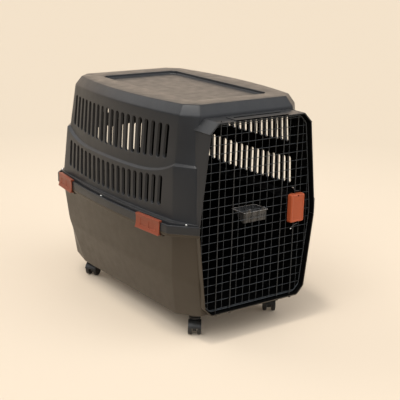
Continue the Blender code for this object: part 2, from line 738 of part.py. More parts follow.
def clip_profile():
    """The clip seen along the rim: over the top of the rim, down its face and under it."""
    inner, outer = TOUCH_GAP * 3, TOUCH_GAP * 3 + CLIP_PLATE
    top_gap = RIM_TOP_Z + TOUCH_GAP * 2
    return [
        (-0.0080, top_gap), (inner, top_gap), (inner, CLIP_PIVOT_Z),
        (-0.0030, CLIP_BOTTOM_Z + 0.0045), (-CLIP_PIVOT_INSET, CLIP_PIVOT_Z - 0.001),
        (-CLIP_PIVOT_INSET, CLIP_BOTTOM_Z + 0.0055), (-0.0040, CLIP_BOTTOM_Z + 0.0010),
        (0.0010, CLIP_BOTTOM_Z), (outer, CLIP_BOTTOM_Z + 0.0040),
        (outer, CLIP_TOP_Z - 0.0015), (outer - 0.0015, CLIP_TOP_Z), (-0.0080, CLIP_TOP_Z),
    ]


def build_clips(parts, cutters, materials):
    half = CLIP_LENGTH / 2
    for name, place, turn in clip_frames():
        pivot = Vector((-CLIP_PIVOT_INSET, 0.0, CLIP_PIVOT_Z))
        origin = place + Matrix.Rotation(turn, 3, "Z") @ pivot
        mesh = prism_mesh("clip_" + name, clip_profile(), "Y", -half, half)
        mesh.transform(Matrix.Translation(-pivot))
        clip = add_object("clip_" + name, mesh, parts, materials["terracotta"], origin, turn)
        barrel = cylinder_mesh(
            f"barrel_{name}", CLIP_BARREL_RADIUS, (0, -half, 0), (0, half, 0), 10
        )
        combine(clip, barrel, "UNION", cutters)
        bore = cylinder_mesh(
            f"bore_{name}", CLIP_PIN_RADIUS + TOUCH_GAP, (0, -half - 0.01, 0), (0, half + 0.01, 0), 8
        )
        combine(clip, bore, "DIFFERENCE", cutters)
        reach = half + LUG_THICKNESS
        pin = cylinder_mesh("clip_pin_" + name, CLIP_PIN_RADIUS, (0, -reach, 0), (0, reach, 0), 8)
        add_object("clip_pin_" + name, pin, parts, materials["rod"], origin, turn)


def caster_places():
    """Name, place and heading of each caster, as it stands in the photograph."""
    return (
        ("front_left", -CASTER_X, CASTER_FRONT_Y, math.radians(144)),
        ("front_right", CASTER_X, CASTER_FRONT_Y, math.radians(-36)),
        ("rear_left", -CASTER_X, CASTER_REAR_Y, math.radians(122)),
        ("rear_right", CASTER_X, CASTER_REAR_Y, math.radians(-15)),
    )


def fork_side_outline():
    """The web between the wheels seen from the side: round at the axle, up to the swivel."""
    points = []
    for step in range(9):
        angle = math.radians(200 + 20 * step)
        points.append((CASTER_TRAIL + WEB_RADIUS * math.cos(angle), HUB_Z + WEB_RADIUS * math.sin(angle)))
    return points + [(CASTER_TRAIL + 0.012, 0.046), (0.010, 0.055), (-0.009, 0.055), (-0.009, 0.040)]


def fender_outline():
    """The guard over the wheels seen from the side."""
    inner, outer = FENDER_RADIUS - FENDER_WALL, FENDER_RADIUS
    begin, end, steps = math.radians(15), math.radians(165), 8
    arc = [begin + (end - begin) * step / steps for step in range(steps + 1)]
    points = [(CASTER_TRAIL + outer * math.cos(a), HUB_Z + outer * math.sin(a)) for a in arc]
    points += [
        (CASTER_TRAIL + inner * math.cos(a), HUB_Z + inner * math.sin(a)) for a in reversed(arc)
    ]
    return points


def build_casters(parts, cutters, materials):
    """Twin-wheel casters; local Y is the way that the wheel trails behind the swivel."""
    for name, x, y, heading in caster_places():
        plate = cylinder_mesh(
            f"caster_{name}_mount", 0.019, (0, 0, FORK_TOP_Z + TOUCH_GAP * 2), (0, 0, PAD_Z - TOUCH_GAP), 20
        )
        mount = add_object(f"caster_{name}_mount", plate, parts, materials["black"], (x, y, 0))
        stem = cylinder_mesh(f"stem_{name}", STEM_RADIUS, (0, 0, 0.0525), (0, 0, PAD_Z - 0.002), 12)
        combine(mount, stem, "UNION", cutters)

        web = prism_mesh(f"caster_{name}_fork", fork_side_outline(), "X", -FORK_HALF, FORK_HALF)
        fork = add_object(
            f"caster_{name}_fork", web, parts, materials["black"], (x, y, 0), heading
        )
        reach = WHEEL_INNER + WHEEL_WIDTH
        guard = prism_mesh(f"fender_{name}", fender_outline(), "X", -reach, reach)
        combine(fork, guard, "UNION", cutters)
        boss = cylinder_mesh(f"boss_{name}", 0.0085, (0, 0, 0.044), (0, 0, FORK_TOP_Z), 14)
        combine(fork, boss, "UNION", cutters)
        bore_radius = STEM_RADIUS + 0.0005
        swivel_bore = cylinder_mesh(f"swivel_bore_{name}", bore_radius, (0, 0, 0.052), (0, 0, 0.07), 12)
        combine(fork, swivel_bore, "DIFFERENCE", cutters)
        axle_bore = cylinder_mesh(
            f"axle_bore_{name}", AXLE_RADIUS + 0.0004, (-2 * FORK_HALF, CASTER_TRAIL, HUB_Z),
            (2 * FORK_HALF, CASTER_TRAIL, HUB_Z), 12,
        )
        combine(fork, axle_bore, "DIFFERENCE", cutters)

        axle = cylinder_mesh(
            f"caster_{name}_wheels", AXLE_RADIUS, (-reach + 0.002, 0, 0), (reach - 0.002, 0, 0), 12
        )
        forward = Matrix.Rotation(heading, 3, "Z") @ Vector((0, CASTER_TRAIL, 0))
        hub = Vector((x, y, HUB_Z)) + forward
        wheels = add_object(f"caster_{name}_wheels", axle, parts, materials["black"], hub, heading)
        discs = []
        half_step = math.pi / WHEEL_SIDES
        for side in (-1, 1):
            near, far = side * WHEEL_INNER, side * reach
            discs.append(
                cylinder_mesh("disc", WHEEL_RADIUS, (near, 0, 0), (far, 0, 0), WHEEL_SIDES, half_step)
            )
        combine(wheels, merge_meshes(f"discs_{name}", discs), "UNION", cutters)


def main():
    for thing in list(bpy.data.objects):
        bpy.data.objects.remove(thing, do_unlink=True)
    parts = make_collection("wheeled_pet_crate")
    cutters = make_collection("cutters")
    materials = {
        "upper": make_material("upper_plastic", PLASTIC_GREY, 0.5),
        "lower": make_material("lower_plastic", PLASTIC_WARM, 0.5),
        "terracotta": make_material("terracotta_plastic", TERRACOTTA, 0.45),
        "wire": make_material("coated_wire", BLACK_WIRE, 0.4, 0.3),
        "rod": make_material("coated_rod", STEEL_ROD, 0.35, 0.5),
        "black": make_material("black_plastic", BLACK_PLASTIC, 0.45),
        "bowl": make_material("smoked_plastic", SMOKED_CLEAR, 0.2, 0.0, 0.7),
    }
    build_upper_shell(parts, cutters, materials["upper"])
    build_lower_shell(parts, cutters, materials["lower"])
    build_door(parts, cutters, materials)
    build_latch(parts, cutters, materials)
    build_bowl(parts, cutters, materials["bowl"])
    build_clips(parts, cutters, materials)
    build_casters(parts, cutters, materials)


main()
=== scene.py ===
"""Looks of the wheeled pet travel crate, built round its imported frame.

Metres, +Z up, in the frame of the solids: the door faces -Y, and left is -X.
Each piece here is a finer form of one solid, stands in that solid's place and rides on its body.
"""

import math
from collections import namedtuple

import bmesh
import bpy
from mathutils import Matrix, Vector


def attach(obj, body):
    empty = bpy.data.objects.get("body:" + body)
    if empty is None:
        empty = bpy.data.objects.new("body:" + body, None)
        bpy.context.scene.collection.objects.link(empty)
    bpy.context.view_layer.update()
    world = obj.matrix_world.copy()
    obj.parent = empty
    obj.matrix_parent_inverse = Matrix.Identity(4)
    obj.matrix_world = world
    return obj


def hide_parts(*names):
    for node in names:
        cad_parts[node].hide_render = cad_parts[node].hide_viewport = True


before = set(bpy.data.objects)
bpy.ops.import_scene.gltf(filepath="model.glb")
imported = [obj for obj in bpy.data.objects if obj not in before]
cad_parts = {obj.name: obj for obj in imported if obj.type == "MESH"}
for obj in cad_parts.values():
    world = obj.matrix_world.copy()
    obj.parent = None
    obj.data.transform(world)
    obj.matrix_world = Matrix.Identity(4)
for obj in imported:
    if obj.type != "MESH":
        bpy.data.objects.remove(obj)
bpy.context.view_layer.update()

TOUCH_GAP = 0.0003
WALL = 0.0035
SLOT_WALL = 0.0085

# Fineness of the meshes
SIDE_STEPS = 36
FACET_STEPS = 5
WALL_STEPS = 4
TALL_SPAN = 0.04
CORNER_STEPS = 4
EDGE_STEPS = 3
FINE_STEPS = 5
FIT_ROUNDS = 12
SHARP_ANGLE = 32.0
BEVEL_ANGLE = 40.0

# Shell levels, as in the solids
CORNER_RADIUS = 0.005
ROOF_Z = 0.8085
LEDGE_DROP = 0.006
LEDGE_DIP = 0.045
LEDGE_POWER = 4.5
FOOT_Z = 0.434
RIM_TOP_Z = 0.4282
RIM_BOTTOM_Z = 0.4005
CHANNEL_Z = 0.421
PARTING_Z = 0.4
RIM_PLATE_Z = 0.391
SILL_Z = 0.104
REAR_EDGE_Z = 0.086
BOTTOM_EDGE_Z = 0.064
FLOOR_Z = 0.0735
FLOOR_TURN_RISE = 0.016
RECESS_DEPTH = 0.011
RIM_LIP = 0.0035

# Door neck
NECK_FRONT_Y = -0.46
NECK_TOP_Z = 0.7665
NECK_BOTTOM_Z = 0.1046
NECK_WAIST_HALF = 0.2503
NECK_SHOULDER = (0.2148, 0.7333)
NECK_TOP = (0.1814, NECK_TOP_Z)
NECK_SIDE = [  # half width and height, from the foot up
    (0.1892, NECK_BOTTOM_Z), (0.2191, 0.1345), (NECK_WAIST_HALF, 0.398), (NECK_WAIST_HALF, 0.428),
    NECK_SHOULDER, NECK_TOP,
]
NECK_ROOT = 0.008
NECK_STEP = 0.0004
LIP_THICKNESS = 0.0012
LIP_OVERHANG = 0.003
LIP_Y = (NECK_FRONT_Y + 0.0015, -0.365)
DOORWAY_Y = (-0.5, -0.33)

# Raised plate on top of the neck, and the dark line behind it
DECK_X = (-0.112, 0.11)
DECK_Y = (-0.4555, -0.402)
DECK_RISE = 0.0025
DECK_LINE_Y = (-0.4225, -0.4125)

# Vent slots
SLOT_WIDTH = 0.0195
SLOT_PITCH = 0.0342
SLOTS_PER_ROW = 19
SLOT_ROW_CENTRE_Y = 0.026
SLOT_ROW_HALF = 0.33
SLOT_END_STEPS = 8
SLOT_RISE = 0.019
UPPER_SLOT = (0.609, 0.74)
LOWER_SLOT = (0.451, 0.552)
REAR_SLOT_SPANS = ((0.64, 0.74), (0.47, 0.585))
REAR_SLOTS = 7
SLOT_MOUTH = ((-0.0015, 0.002), (0.0003, 0.0006), (0.001, 0.0), (0.012, 0.0))

# Door
WIRE_RADIUS = 0.001
WIRE_PITCH = 0.03
WIRE_SIDES = 10
WIRE_ROWS = range(1, 23)
WIRE_COLUMNS = range(-8, 8)
FRAME_RADIUS = 0.0019
DOOR_GAP = 0.005
GRILLE_Y = -0.443
ROW_WIRE_Y = GRILLE_Y - 0.0002
COLUMN_WIRE_Y = GRILLE_Y + 0.0022
FRAME_WIRE_Y = GRILLE_Y + 0.001
FRAME_CORNER = 0.008
GRILLE_FOOT_Z = 0.09
ROD_RADIUS = 0.0016
ROD_Y = -0.4472
ROD_X = 0.165
STIFFENER_X = 0.105
PIN_HOLE_RADIUS = 0.0033
BOSS_RADIUS = 0.0055
BOSS_Z = (NECK_BOTTOM_Z - 0.007, NECK_BOTTOM_Z + WALL / 2)

# Latch
LATCH_X = 0.167
LATCH_Z = 0.433
LATCH_WIDTH = 0.062
LATCH_HEIGHT = 0.102
LATCH_FRONT_Y = -0.4655
LATCH_BACK_Y = -0.4447
LATCH_CORNER = 0.007
LATCH_SECTIONS = (  # place, how far it is drawn in, radius of its edge
    (LATCH_BACK_Y, 0.0010, 0.0), (LATCH_BACK_Y - 0.002, 0.0, 0.001),
    (LATCH_FRONT_Y + 0.002, 0.0012, 0.002), (LATCH_FRONT_Y, 0.0042, 0.0016),
    (LATCH_FRONT_Y, 0.0075, 0.0008), (LATCH_FRONT_Y + 0.0012, 0.0088, 0.0008),
    (LATCH_FRONT_Y + 0.0012, 0.014, 0.0),
)
LATCH_CHANNEL = 0.0034
BOLTS = (  # name, foot, top, height of the grip, way out
    ("upper", 0.443, NECK_TOP_Z - WALL - 0.003, 0.504, 1),
    ("lower", NECK_BOTTOM_Z + WALL + 0.003, 0.425, 0.36, -1),
)
GRIP_RADIUS = 0.0017
GRIP_PATH = (
    (-0.012, -0.0035, 0.002), (-0.009, -0.005, -0.003), (-0.003, -0.005, -0.009),
    (0.006, -0.005, -0.012), (0.016, -0.004, -0.013),
)

# Bowl
BOWL_HALF_WIDTH = 0.053
BOWL_RIM_Z = 0.442
BOWL_DEPTH = 0.039
BOWL_REACH = 0.072
BOWL_WALL = 0.002
BOWL_SLANT = 0.048
BOWL_FLANGE = 0.0035
BOWL_CORNERS = (0.003, 0.01, 0.01, 0.003)
BOWL_NEAR_Y = GRILLE_Y + 0.0017
HOOK_PATH = (
    (BOWL_NEAR_Y + 0.001, BOWL_RIM_Z - 0.001), (BOWL_NEAR_Y + 0.001, 0.4525), (GRILLE_Y, 0.4535),
    (GRILLE_Y - 0.0030, 0.4520), (GRILLE_Y - 0.0032, 0.4490),
)
HOOK_RADIUS = 0.0011
HOOK_WIDENING = 5.0

# Rim clips
CLIP_LENGTH = 0.128
CLIP_PLACES = (("front", -0.2835), ("rear", 0.32))
CLIP_PIVOT_INSET = 0.008
CLIP_PIVOT_Z = 0.386
CLIP_PANELS = ((-0.04, -0.008), (0.008, 0.04))
CLIP_BARREL_RADIUS = 0.0036
CLIP_PIN_RADIUS = 0.0015
LUG_THICKNESS = 0.006
CLIP_PROFILE = (  # seen along the rim: lip over it, hollow face, flared finger lip, inside
    (-0.0080, 0.4335), (-0.0062, 0.4348), (0.0030, 0.4350), (0.0056, 0.4340), (0.0064, 0.4316),
    (0.0056, 0.4284), (0.0045, 0.4220), (0.0040, 0.4130), (0.0040, 0.4060), (0.0046, 0.3990),
    (0.0058, 0.3925), (0.0076, 0.3870), (0.0088, 0.3846), (0.0078, 0.3830), (0.0058, 0.3838),
    (0.0036, 0.3862), (0.0010, 0.3848), (-0.0040, 0.3830), (-0.0080, 0.3840), (-0.0080, 0.3862),
    (-0.0030, 0.3858), (0.0004, 0.3878), (0.0009, 0.3910), (0.0009, 0.4289), (-0.0080, 0.4289),
)

# Casters
CASTER_X = 0.169
CASTER_FRONT_Y = -0.336
CASTER_REAR_Y = 0.358
CASTER_TRAIL = 0.018
WHEEL_RADIUS = 0.025
HUB_Z = WHEEL_RADIUS * math.cos(math.pi / 24)
PAD_Z = 0.0655
PAD_RADIUS = 0.022
FORK_TOP_Z = 0.0615
CASTERS = (  # name, place and heading, as they stand in the photograph
    ("front_left", -CASTER_X, CASTER_FRONT_Y, 144), ("front_right", CASTER_X, CASTER_FRONT_Y, -36),
    ("rear_left", -CASTER_X, CASTER_REAR_Y, 122), ("rear_right", CASTER_X, CASTER_REAR_Y, -15),
)
PLATE_PROFILE = (
    (0.0175, FORK_TOP_Z + 0.0006), (0.0190, FORK_TOP_Z + 0.0012),
    (0.0190, PAD_Z - 0.0009), (0.0182, PAD_Z - TOUCH_GAP),
)
HOUSING_PROFILE = (
    (0.0100, 0.0470), (0.0205, 0.0520), (0.0212, 0.0545), (0.0205, FORK_TOP_Z - 0.0030),
    (0.0180, FORK_TOP_Z - 0.0010), (0.0150, FORK_TOP_Z),
)
STEM_RADIUS = 0.004
STEM_BORE = 0.0045
AXLE_RADIUS = 0.0032
AXLE_BORE = 0.0034
WEB_HALF = 0.007
WEB_ARC = (0.014, 200, 360)
WEB_TOP = [(CASTER_TRAIL + 0.012, 0.046), (0.01, 0.055), (-0.009, 0.055), (-0.009, 0.04)]
HOOD_HALF = 0.0228
HOOD_RADII = (0.0285, 0.0263)
HOOD_ANGLES = (12, 168)
WHEEL_INNER = 0.009
WHEEL_PROFILE = (  # from its inner face: tread, shoulder, sunk face and hub cap
    (0.0030, 0.0), (HUB_Z - 0.0030, 0.0), (HUB_Z - 0.0008, 0.0008), (HUB_Z, 0.0026),
    (HUB_Z, 0.0114), (HUB_Z - 0.0008, 0.0132), (HUB_Z - 0.0030, 0.0140), (HUB_Z - 0.0050, 0.0140),
    (HUB_Z - 0.0058, 0.0122), (0.0100, 0.0118), (0.0088, 0.0126), (0.0080, 0.0138), (0.0030, 0.0140),
)

# Screws in the rim's channel
SCREW_MIDDLE_Y = 0.037
SCREW_END_PLACES = ((0.2722, -0.418), (0.272, 0.433))
SCREW_PROFILE = (
    (0.0012, -0.0010), (0.0044, -0.0010), (0.0047, 0.0010), (0.0044, 0.0040), (0.0034, 0.0058),
    (0.0018, 0.0067), (0.0006, 0.0069),
)
CROSS_SLOTS = ((0.0022, 0.0005), (0.0005, 0.0022))

# Camera, solved from the photograph
CAMERA_PLACE = (-2.0047, -2.8625, 1.3771)
CAMERA_TURN = (-36.134, 16.026, 1.515)  # yaw, pitch and roll in degrees
CAMERA_LENS = 86.83

# Light: a soft key from above, three softboxes, a weak dome and a warm backdrop
KEY_WAY = (-0.25, -0.04, 0.967)
KEY_ENERGY = 1.00
KEY_ANGLE = 9.0
KEY_COLOUR = (1.0, 0.96, 0.9)
DOME_LOW = (0.12, 0.12, 0.12)
DOME_MIDDLE = (0.36, 0.36, 0.37)
DOME_TOP = (0.45, 0.46, 0.48)
DARK_SIDE = (0.04, 0.04, 0.04)
DARK_SIDE_WAY = (-0.59, -0.81, 0.0)
SOFTBOXES = (  # way, where it begins and where it is full, light
    ((0.42, -0.65, 0.633), 0.74, 0.93, (1.7, 1.72, 1.76)),
    ((-0.56, -0.27, 0.783), 0.86, 0.95, (3.3, 3.32, 3.36)),
    ((-0.44, 0.69, 0.575), 0.9, 0.97, (2.1, 2.1, 2.1)),
)
BACKDROP = (1.32, 1.05, 0.8)
BACKDROP_WAY = (0.45, 0.893, 0.0)
FLOOR_NEAR = ((0.7, 0.592, 0.463), (0.728, 0.618, 0.487))
# The floor far from the crate is painted darker, a painted falloff of light.
FLOOR_FAR_PAINTED_DIM = (0.605, 0.516, 0.402)
FLOOR_GLOW = 0.06
FLOOR_RADIUS = 40.0

# Materials: colour, settled dust, roughness, grain, wear of edges (also a painted highlight along
# edges) and gloss of each plastic
DUST = (0.16, 0.145, 0.125)
PLASTICS = {
    "dark_grey_plastic": ((0.019, 0.02, 0.022), DUST, 0.34, 0.12, 0.5, 0.3),
    "warm_grey_plastic": ((0.038, 0.029, 0.019), DUST, 0.34, 0.12, 0.35, 0.31),
    # Near black for every inner face, the doorway's cut sides and the cuts by the deck plate: painted
    # shade.
    "inner_plastic": ((0.002, 0.002, 0.002), (0.006, 0.0055, 0.005), 0.6, 0.1, 0.1, 0.04),
    "terracotta_plastic": ((0.36, 0.072, 0.025), (0.4, 0.16, 0.1), 0.4, 0.08, 0.45, 0.3),
    # A darker copy of the terracotta for the clips, as painted shade, with strong edge lightening as a
    # painted highlight.
    "terracotta_clip_plastic": ((0.2, 0.044, 0.02), (0.32, 0.12, 0.08), 0.42, 0.08, 0.95, 0.3),
    "black_plastic": ((0.016, 0.016, 0.016), (0.1, 0.09, 0.08), 0.45, 0.1, 0.2, 0.5),
    "wheel_plastic": ((0.018, 0.017, 0.016), (0.09, 0.08, 0.07), 0.55, 0.1, 0.4, 0.5),
}
DUST_SHARE = 0.18
WIRES = {"black_wire": (0.024, 0.027, 0.031), "coated_rod": (0.026, 0.027, 0.029)}
WIRE_TINT = (0.86, 0.95, 1.0)
STEEL_COLOURS = ((0.5, 0.49, 0.47), (0.74, 0.73, 0.7))
# The second smoked finish is the bowl's rim, painted lighter as a highlight.
SMOKED = {"smoked_plastic": (0.022, 0.06), "smoked_rim_plastic": (0.14, 0.24)}
SMOKED_ALPHA = 0.97
# The second finish of each shell paints its inner faces near black as shade.
HOOD_FINISHES = ("dark_grey_plastic", "inner_plastic")
PAN_FINISHES = ("warm_grey_plastic", "inner_plastic")
FINISHES = {}

Level = namedtuple(
    "Level",
    "z side bulge side_front side_rear front rear face dip front_lift rear_lift taper spread",
    defaults=(0.0, 0.0, 0.0, 0.0, 0.0),
)

ROOF = Level(ROOF_Z, 0.227, 0.039, -0.3175, 0.3545, -0.356, 0.393, 0.182)
BAND = Level(0.776, 0.2476, 0.039, -0.330, 0.368, -0.3766, 0.4136, 0.196)
LEDGE_TOP = Level(0.618, 0.265, 0.031, -0.336, 0.378, -0.400, 0.431, 0.229, LEDGE_DIP)
LEDGE_EDGE = Level(
    LEDGE_TOP.z - LEDGE_DROP, 0.2755, 0.031, -0.340, 0.384, -0.409, 0.440, 0.2305, LEDGE_DIP
)
FOOT = Level(FOOT_Z, 0.286, 0.0195, -0.3575, 0.397, -0.4445, 0.4515, 0.2497)
RIDGE = Level(FOOT_Z, 0.297, 0.027, -0.3735, 0.409, -0.450, 0.4575, 0.2503, taper=0.0105)
RIM = Level(RIM_TOP_Z, 0.3135, 0.027, -0.381, 0.416, -0.4585, 0.4655, 0.2503, taper=0.0105)
HOLLOW = Level(RIM_BOTTOM_Z, 0.290, 0.0215, -0.364, 0.402, -0.448, 0.455, 0.2503, taper=0.004)
WALL_TOP = Level(RIM_PLATE_Z, 0.286, 0.019, -0.356, 0.400, -0.4445, 0.4500, 0.2503)
CREASE_TOP = Level(0.240, 0.2635, 0.0115, -0.328, 0.398, -0.4425, 0.436, 0.2340)
CREASE_FOOT = Level(
    CREASE_TOP.z - 0.024, 0.2598, 0.0113, -0.322, 0.388, -0.4425, 0.424, 0.2336, spread=0.006
)
BOTTOM = Level(
    BOTTOM_EDGE_Z, 0.223, 0.0, -0.295, 0.345, -0.440, 0.416, 0.2155,
    0.0, SILL_Z - BOTTOM_EDGE_Z, REAR_EDGE_Z - BOTTOM_EDGE_Z, spread=0.0055,
)
UNDERSIDE = Level(0.0665, 0.214, 0.0, -0.288, 0.338, -0.302, 0.350, 0.199)
RECESS = Level(ROOF_Z, 0.166, 0.0, -0.262, 0.291, -0.281, 0.310, 0.147)


# Mesh helpers

def finish_mesh(shape):
    bmesh.ops.recalc_face_normals(shape, faces=shape.faces[:])
    mesh = bpy.data.meshes.new("form")
    shape.to_mesh(mesh)
    shape.free()
    return mesh


def skin(rows, looped=False, inner=()):
    """A closed skin of quads through rows of points, in its second finish after the inner rows."""
    shape = bmesh.new()
    made = [[shape.verts.new(point) for point in row] for row in rows]
    pairs = list(zip(made, made[1:]))
    if looped:
        pairs.append((made[-1], made[0]))
    for index, (lower, upper) in enumerate(pairs):
        for i in range(len(lower)):
            j = (i + 1) % len(lower)
            face = shape.faces.new((lower[i], lower[j], upper[j], upper[i]))
            face.material_index = int(index in inner)
    if not looped:
        shape.faces.new(reversed(made[0])).material_index = int(0 in inner)
        shape.faces.new(made[-1]).material_index = int(len(pairs) - 1 in inner)
    return finish_mesh(shape)


def bend(before, corner, after, radius, steps):
    """Points of a short curve that rounds off one corner."""
    corner = Vector(corner)
    back, ahead = Vector(before) - corner, Vector(after) - corner
    start = corner + back.normalized() * min(radius, 0.45 * back.length)
    end = corner + ahead.normalized() * min(radius, 0.45 * ahead.length)
    points = []
    for step in range(steps + 1):
        t = step / steps
        points.append(start * (1 - t) ** 2 + corner * (2 * t * (1 - t)) + end * t * t)
    return points


def round_loop(points, radii, steps=CORNER_STEPS):
    """A closed outline with the corners that have a radius rounded off."""
    outline = []
    count = len(points)
    for i, radius in enumerate(radii):
        if radius:
            outline += bend(points[i - 1], points[i], points[(i + 1) % count], radius, steps)
        else:
            outline.append(Vector(points[i]))
    return outline


def round_rows(rows, radii, steps=EDGE_STEPS):
    """Rows of a skin with the rows that have a radius turned into a soft edge."""
    made = []
    for i, radius in enumerate(radii):
        if radius and 0 < i < len(rows) - 1:
            columns = [
                bend(a, b, c, radius, steps) for a, b, c in zip(rows[i - 1], rows[i], rows[i + 1])
            ]
            made += [list(row) for row in zip(*columns)]
        else:
            made.append([Vector(point) for point in rows[i]])
    return made


def rows_before(radii, index):
    """How many rows the levels before an index give once they are rounded."""
    return sum(EDGE_STEPS + 1 if radius and k > 0 else 1 for k, radius in enumerate(radii[:index]))


def box_mesh(low, high, inner=False):
    """A box between two corners, all in the second finish where it is marked as inner."""
    shape = bmesh.new()
    bmesh.ops.create_cube(shape, size=1.0)
    for face in shape.faces:
        face.material_index = int(inner)
    size = Vector(high) - Vector(low)
    middle = (Vector(high) + Vector(low)) / 2
    for vertex in shape.verts:
        vertex.co = Vector(a * b for a, b in zip(vertex.co, size)) + middle
    return finish_mesh(shape)


def lathe(profile, sides):
    """Turn a closed profile of radius and height round the Z axis."""
    angles = [2 * math.pi * k / sides for k in range(sides)]
    return skin([[(r * math.cos(a), r * math.sin(a), z) for a in angles] for r, z in profile])


def tube(points, radius, sides=WIRE_SIDES, closed=False):
    """A round wire along a line of points."""
    points = [Vector(p) for p in points]
    count = len(points)
    rows = []
    side = None
    for i, point in enumerate(points):
        if closed:
            along = (points[(i + 1) % count] - points[i - 1]).normalized()
        else:
            along = (points[min(i + 1, count - 1)] - points[max(i - 1, 0)]).normalized()
        if side is None:
            side = along.orthogonal().normalized()
        side = (side - along * side.dot(along)).normalized()
        across = along.cross(side)
        rows.append([
            point + (side * math.cos(a) + across * math.sin(a)) * radius
            for a in (2 * math.pi * k / sides for k in range(sides))
        ])
    return skin(rows, looped=closed)


def upright(x, y, low, high, radius, sides=16):
    """A round bar that stands on end at a place."""
    return tube([(x, y, low), (x, y, high)], radius, sides)


def smooth_path(points, steps=6):
    """A soft curve through a few points."""
    points = [Vector(p) for p in points]
    ends = [2 * points[0] - points[1]] + points + [2 * points[-1] - points[-2]]
    path = []
    for a, b, c, d in zip(ends, ends[1:], ends[2:], ends[3:]):
        for step in range(steps):
            t = step / steps
            path.append(0.5 * (2 * b + (c - a) * t + (2 * a - 5 * b + 4 * c - d) * t * t
                               + (3 * b - a - 3 * c + d) * t ** 3))
    return path + [points[-1]]


def merged(meshes):
    """Several closed meshes in one."""
    shape = bmesh.new()
    for mesh in meshes:
        shape.from_mesh(mesh)
    return finish_mesh(shape)


def placed(mesh, matrix):
    copy = mesh.copy()
    copy.transform(matrix)
    return copy


def joining(*meshes):
    return [("UNION", mesh) for mesh in meshes]


def cutting(*meshes):
    return [("DIFFERENCE", mesh) for mesh in meshes]


def shown(name, data):
    """An object of the scene that holds some data."""
    made = bpy.data.objects.new(name, data)
    bpy.context.scene.collection.objects.link(made)
    return made


def carved(mesh, steps):
    """The mesh after joining or cutting helper meshes, in order."""
    base = shown("helper", mesh)
    helpers = [base]
    for operation, helper_mesh in steps:
        if not helper_mesh.materials:
            for material in mesh.materials:
                helper_mesh.materials.append(material)
        helpers.append(shown("helper", helper_mesh))
        modifier = base.modifiers.new("carve", "BOOLEAN")
        modifier.operation = operation
        modifier.solver = "EXACT"
        modifier.object = helpers[-1]
    graph = bpy.context.evaluated_depsgraph_get()
    result = bpy.data.meshes.new_from_object(base.evaluated_get(graph))
    for helper in helpers:
        bpy.data.objects.remove(helper)
    return result


def finished(mesh, *names):
    """Give a mesh its finishes, the second one for its inner faces."""
    for name in names:
        mesh.materials.append(FINISHES[name])
    return mesh


def add_piece(name, mesh, body, slot, replaced=(), bevel=0.0):
    """Show a mesh as a piece on a body, in its own finish or its slot's, in its solids' place."""
    mesh.name = name
    piece = shown(name, mesh)
    if not mesh.materials:
        finished(mesh, slot)
    mesh.shade_smooth()
    mesh.set_sharp_from_angle(angle=math.radians(SHARP_ANGLE))
    if bevel:
        modifier = piece.modifiers.new("soft_edges", "BEVEL")
        modifier.width = bevel
        modifier.segments = 2
        modifier.limit_method = "ANGLE"
        modifier.angle_limit = math.radians(BEVEL_ANGLE)
        modifier.harden_normals = True
    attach(piece, body)
    if replaced:
        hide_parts(*replaced)


# Shells

def inset(level, thickness, z=None):
    """The same level for the inner face of a wall."""
    return level._replace(
        z=level.z if z is None else z,
        side=level.side - thickness,
        side_front=level.side_front + thickness / 2,
        side_rear=level.side_rear - thickness / 2,
        front=level.front + thickness,
        rear=level.rear - thickness,
        face=level.face - thickness / 2,
    )


def rim(thickness, z):
    """The rim's plan moved inwards, still meeting the neck at its waist."""
    return inset(RIM, thickness, z)._replace(face=NECK_WAIST_HALF)


def side_point(level, s):
    """A point of a level's long right side, with s from -1 at its front end to 1 at its rear."""
    middle = (level.side_front + level.side_rear) / 2
    half = (level.side_rear - level.side_front) / 2
    x = level.side + level.bulge * (1 - s * s) - level.taper * s
    z = level.z - level.dip * (1 - abs(s) ** LEDGE_POWER)
    return x, middle + s * half, z


def ring(level):
    """A level's plan with its eight corners rounded, anticlockwise from above."""
    right = [side_point(level, 2 * step / SIDE_STEPS - 1) for step in range(SIDE_STEPS + 1)]
    left = [(-x, y, z) for x, y, z in reversed(right)]
    rear_z, front_z = level.z + level.rear_lift, level.z + level.front_lift
    rear_x = level.face + level.spread
    rear = [(rear_x, level.rear, rear_z), (-rear_x, level.rear, rear_z)]
    front = [(-level.face, level.front, front_z), (level.face, level.front, front_z)]
    sides = (right, rear, left, front)
    points, radii = [], []
    for here, there in zip(sides, sides[1:] + sides[:1]):
        end, start = Vector(here[-1]), Vector(there[0])
        points += here + [end.lerp(start, k / FACET_STEPS) for k in range(1, FACET_STEPS)]
        radii += [CORNER_RADIUS] + [0.0] * (len(here) - 2) + [CORNER_RADIUS]
        radii += [0.0] * (FACET_STEPS - 1)
    return round_loop(points, radii)


def filled(levels):
    """Rings and radii of levels, with more rings where a wall is tall, so that it bends evenly."""
    rows, radii = [ring(levels[0][0])], [levels[0][1]]
    for level, radius in levels[1:]:
        before, after = rows[-1], ring(level)
        steps = WALL_STEPS if abs(after[0].z - before[0].z) > TALL_SPAN else 1
        for k in range(1, steps):
            rows.append([a.lerp(b, k / steps) for a, b in zip(before, after)])
            radii.append(0.0)
        rows.append(after)
        radii.append(radius)
    return rows, radii


def shell_skin(first, second, second_is_inner):
    """A closed skin through two lists of levels, one of which is its inner side."""
    rows, radii = filled(first)
    more_rows, more_radii = filled(second)
    turn = rows_before(radii, len(radii))
    rows = round_rows(rows + more_rows, radii + more_radii)
    return skin(rows, inner=range(turn, len(rows)) if second_is_inner else range(turn - 1))


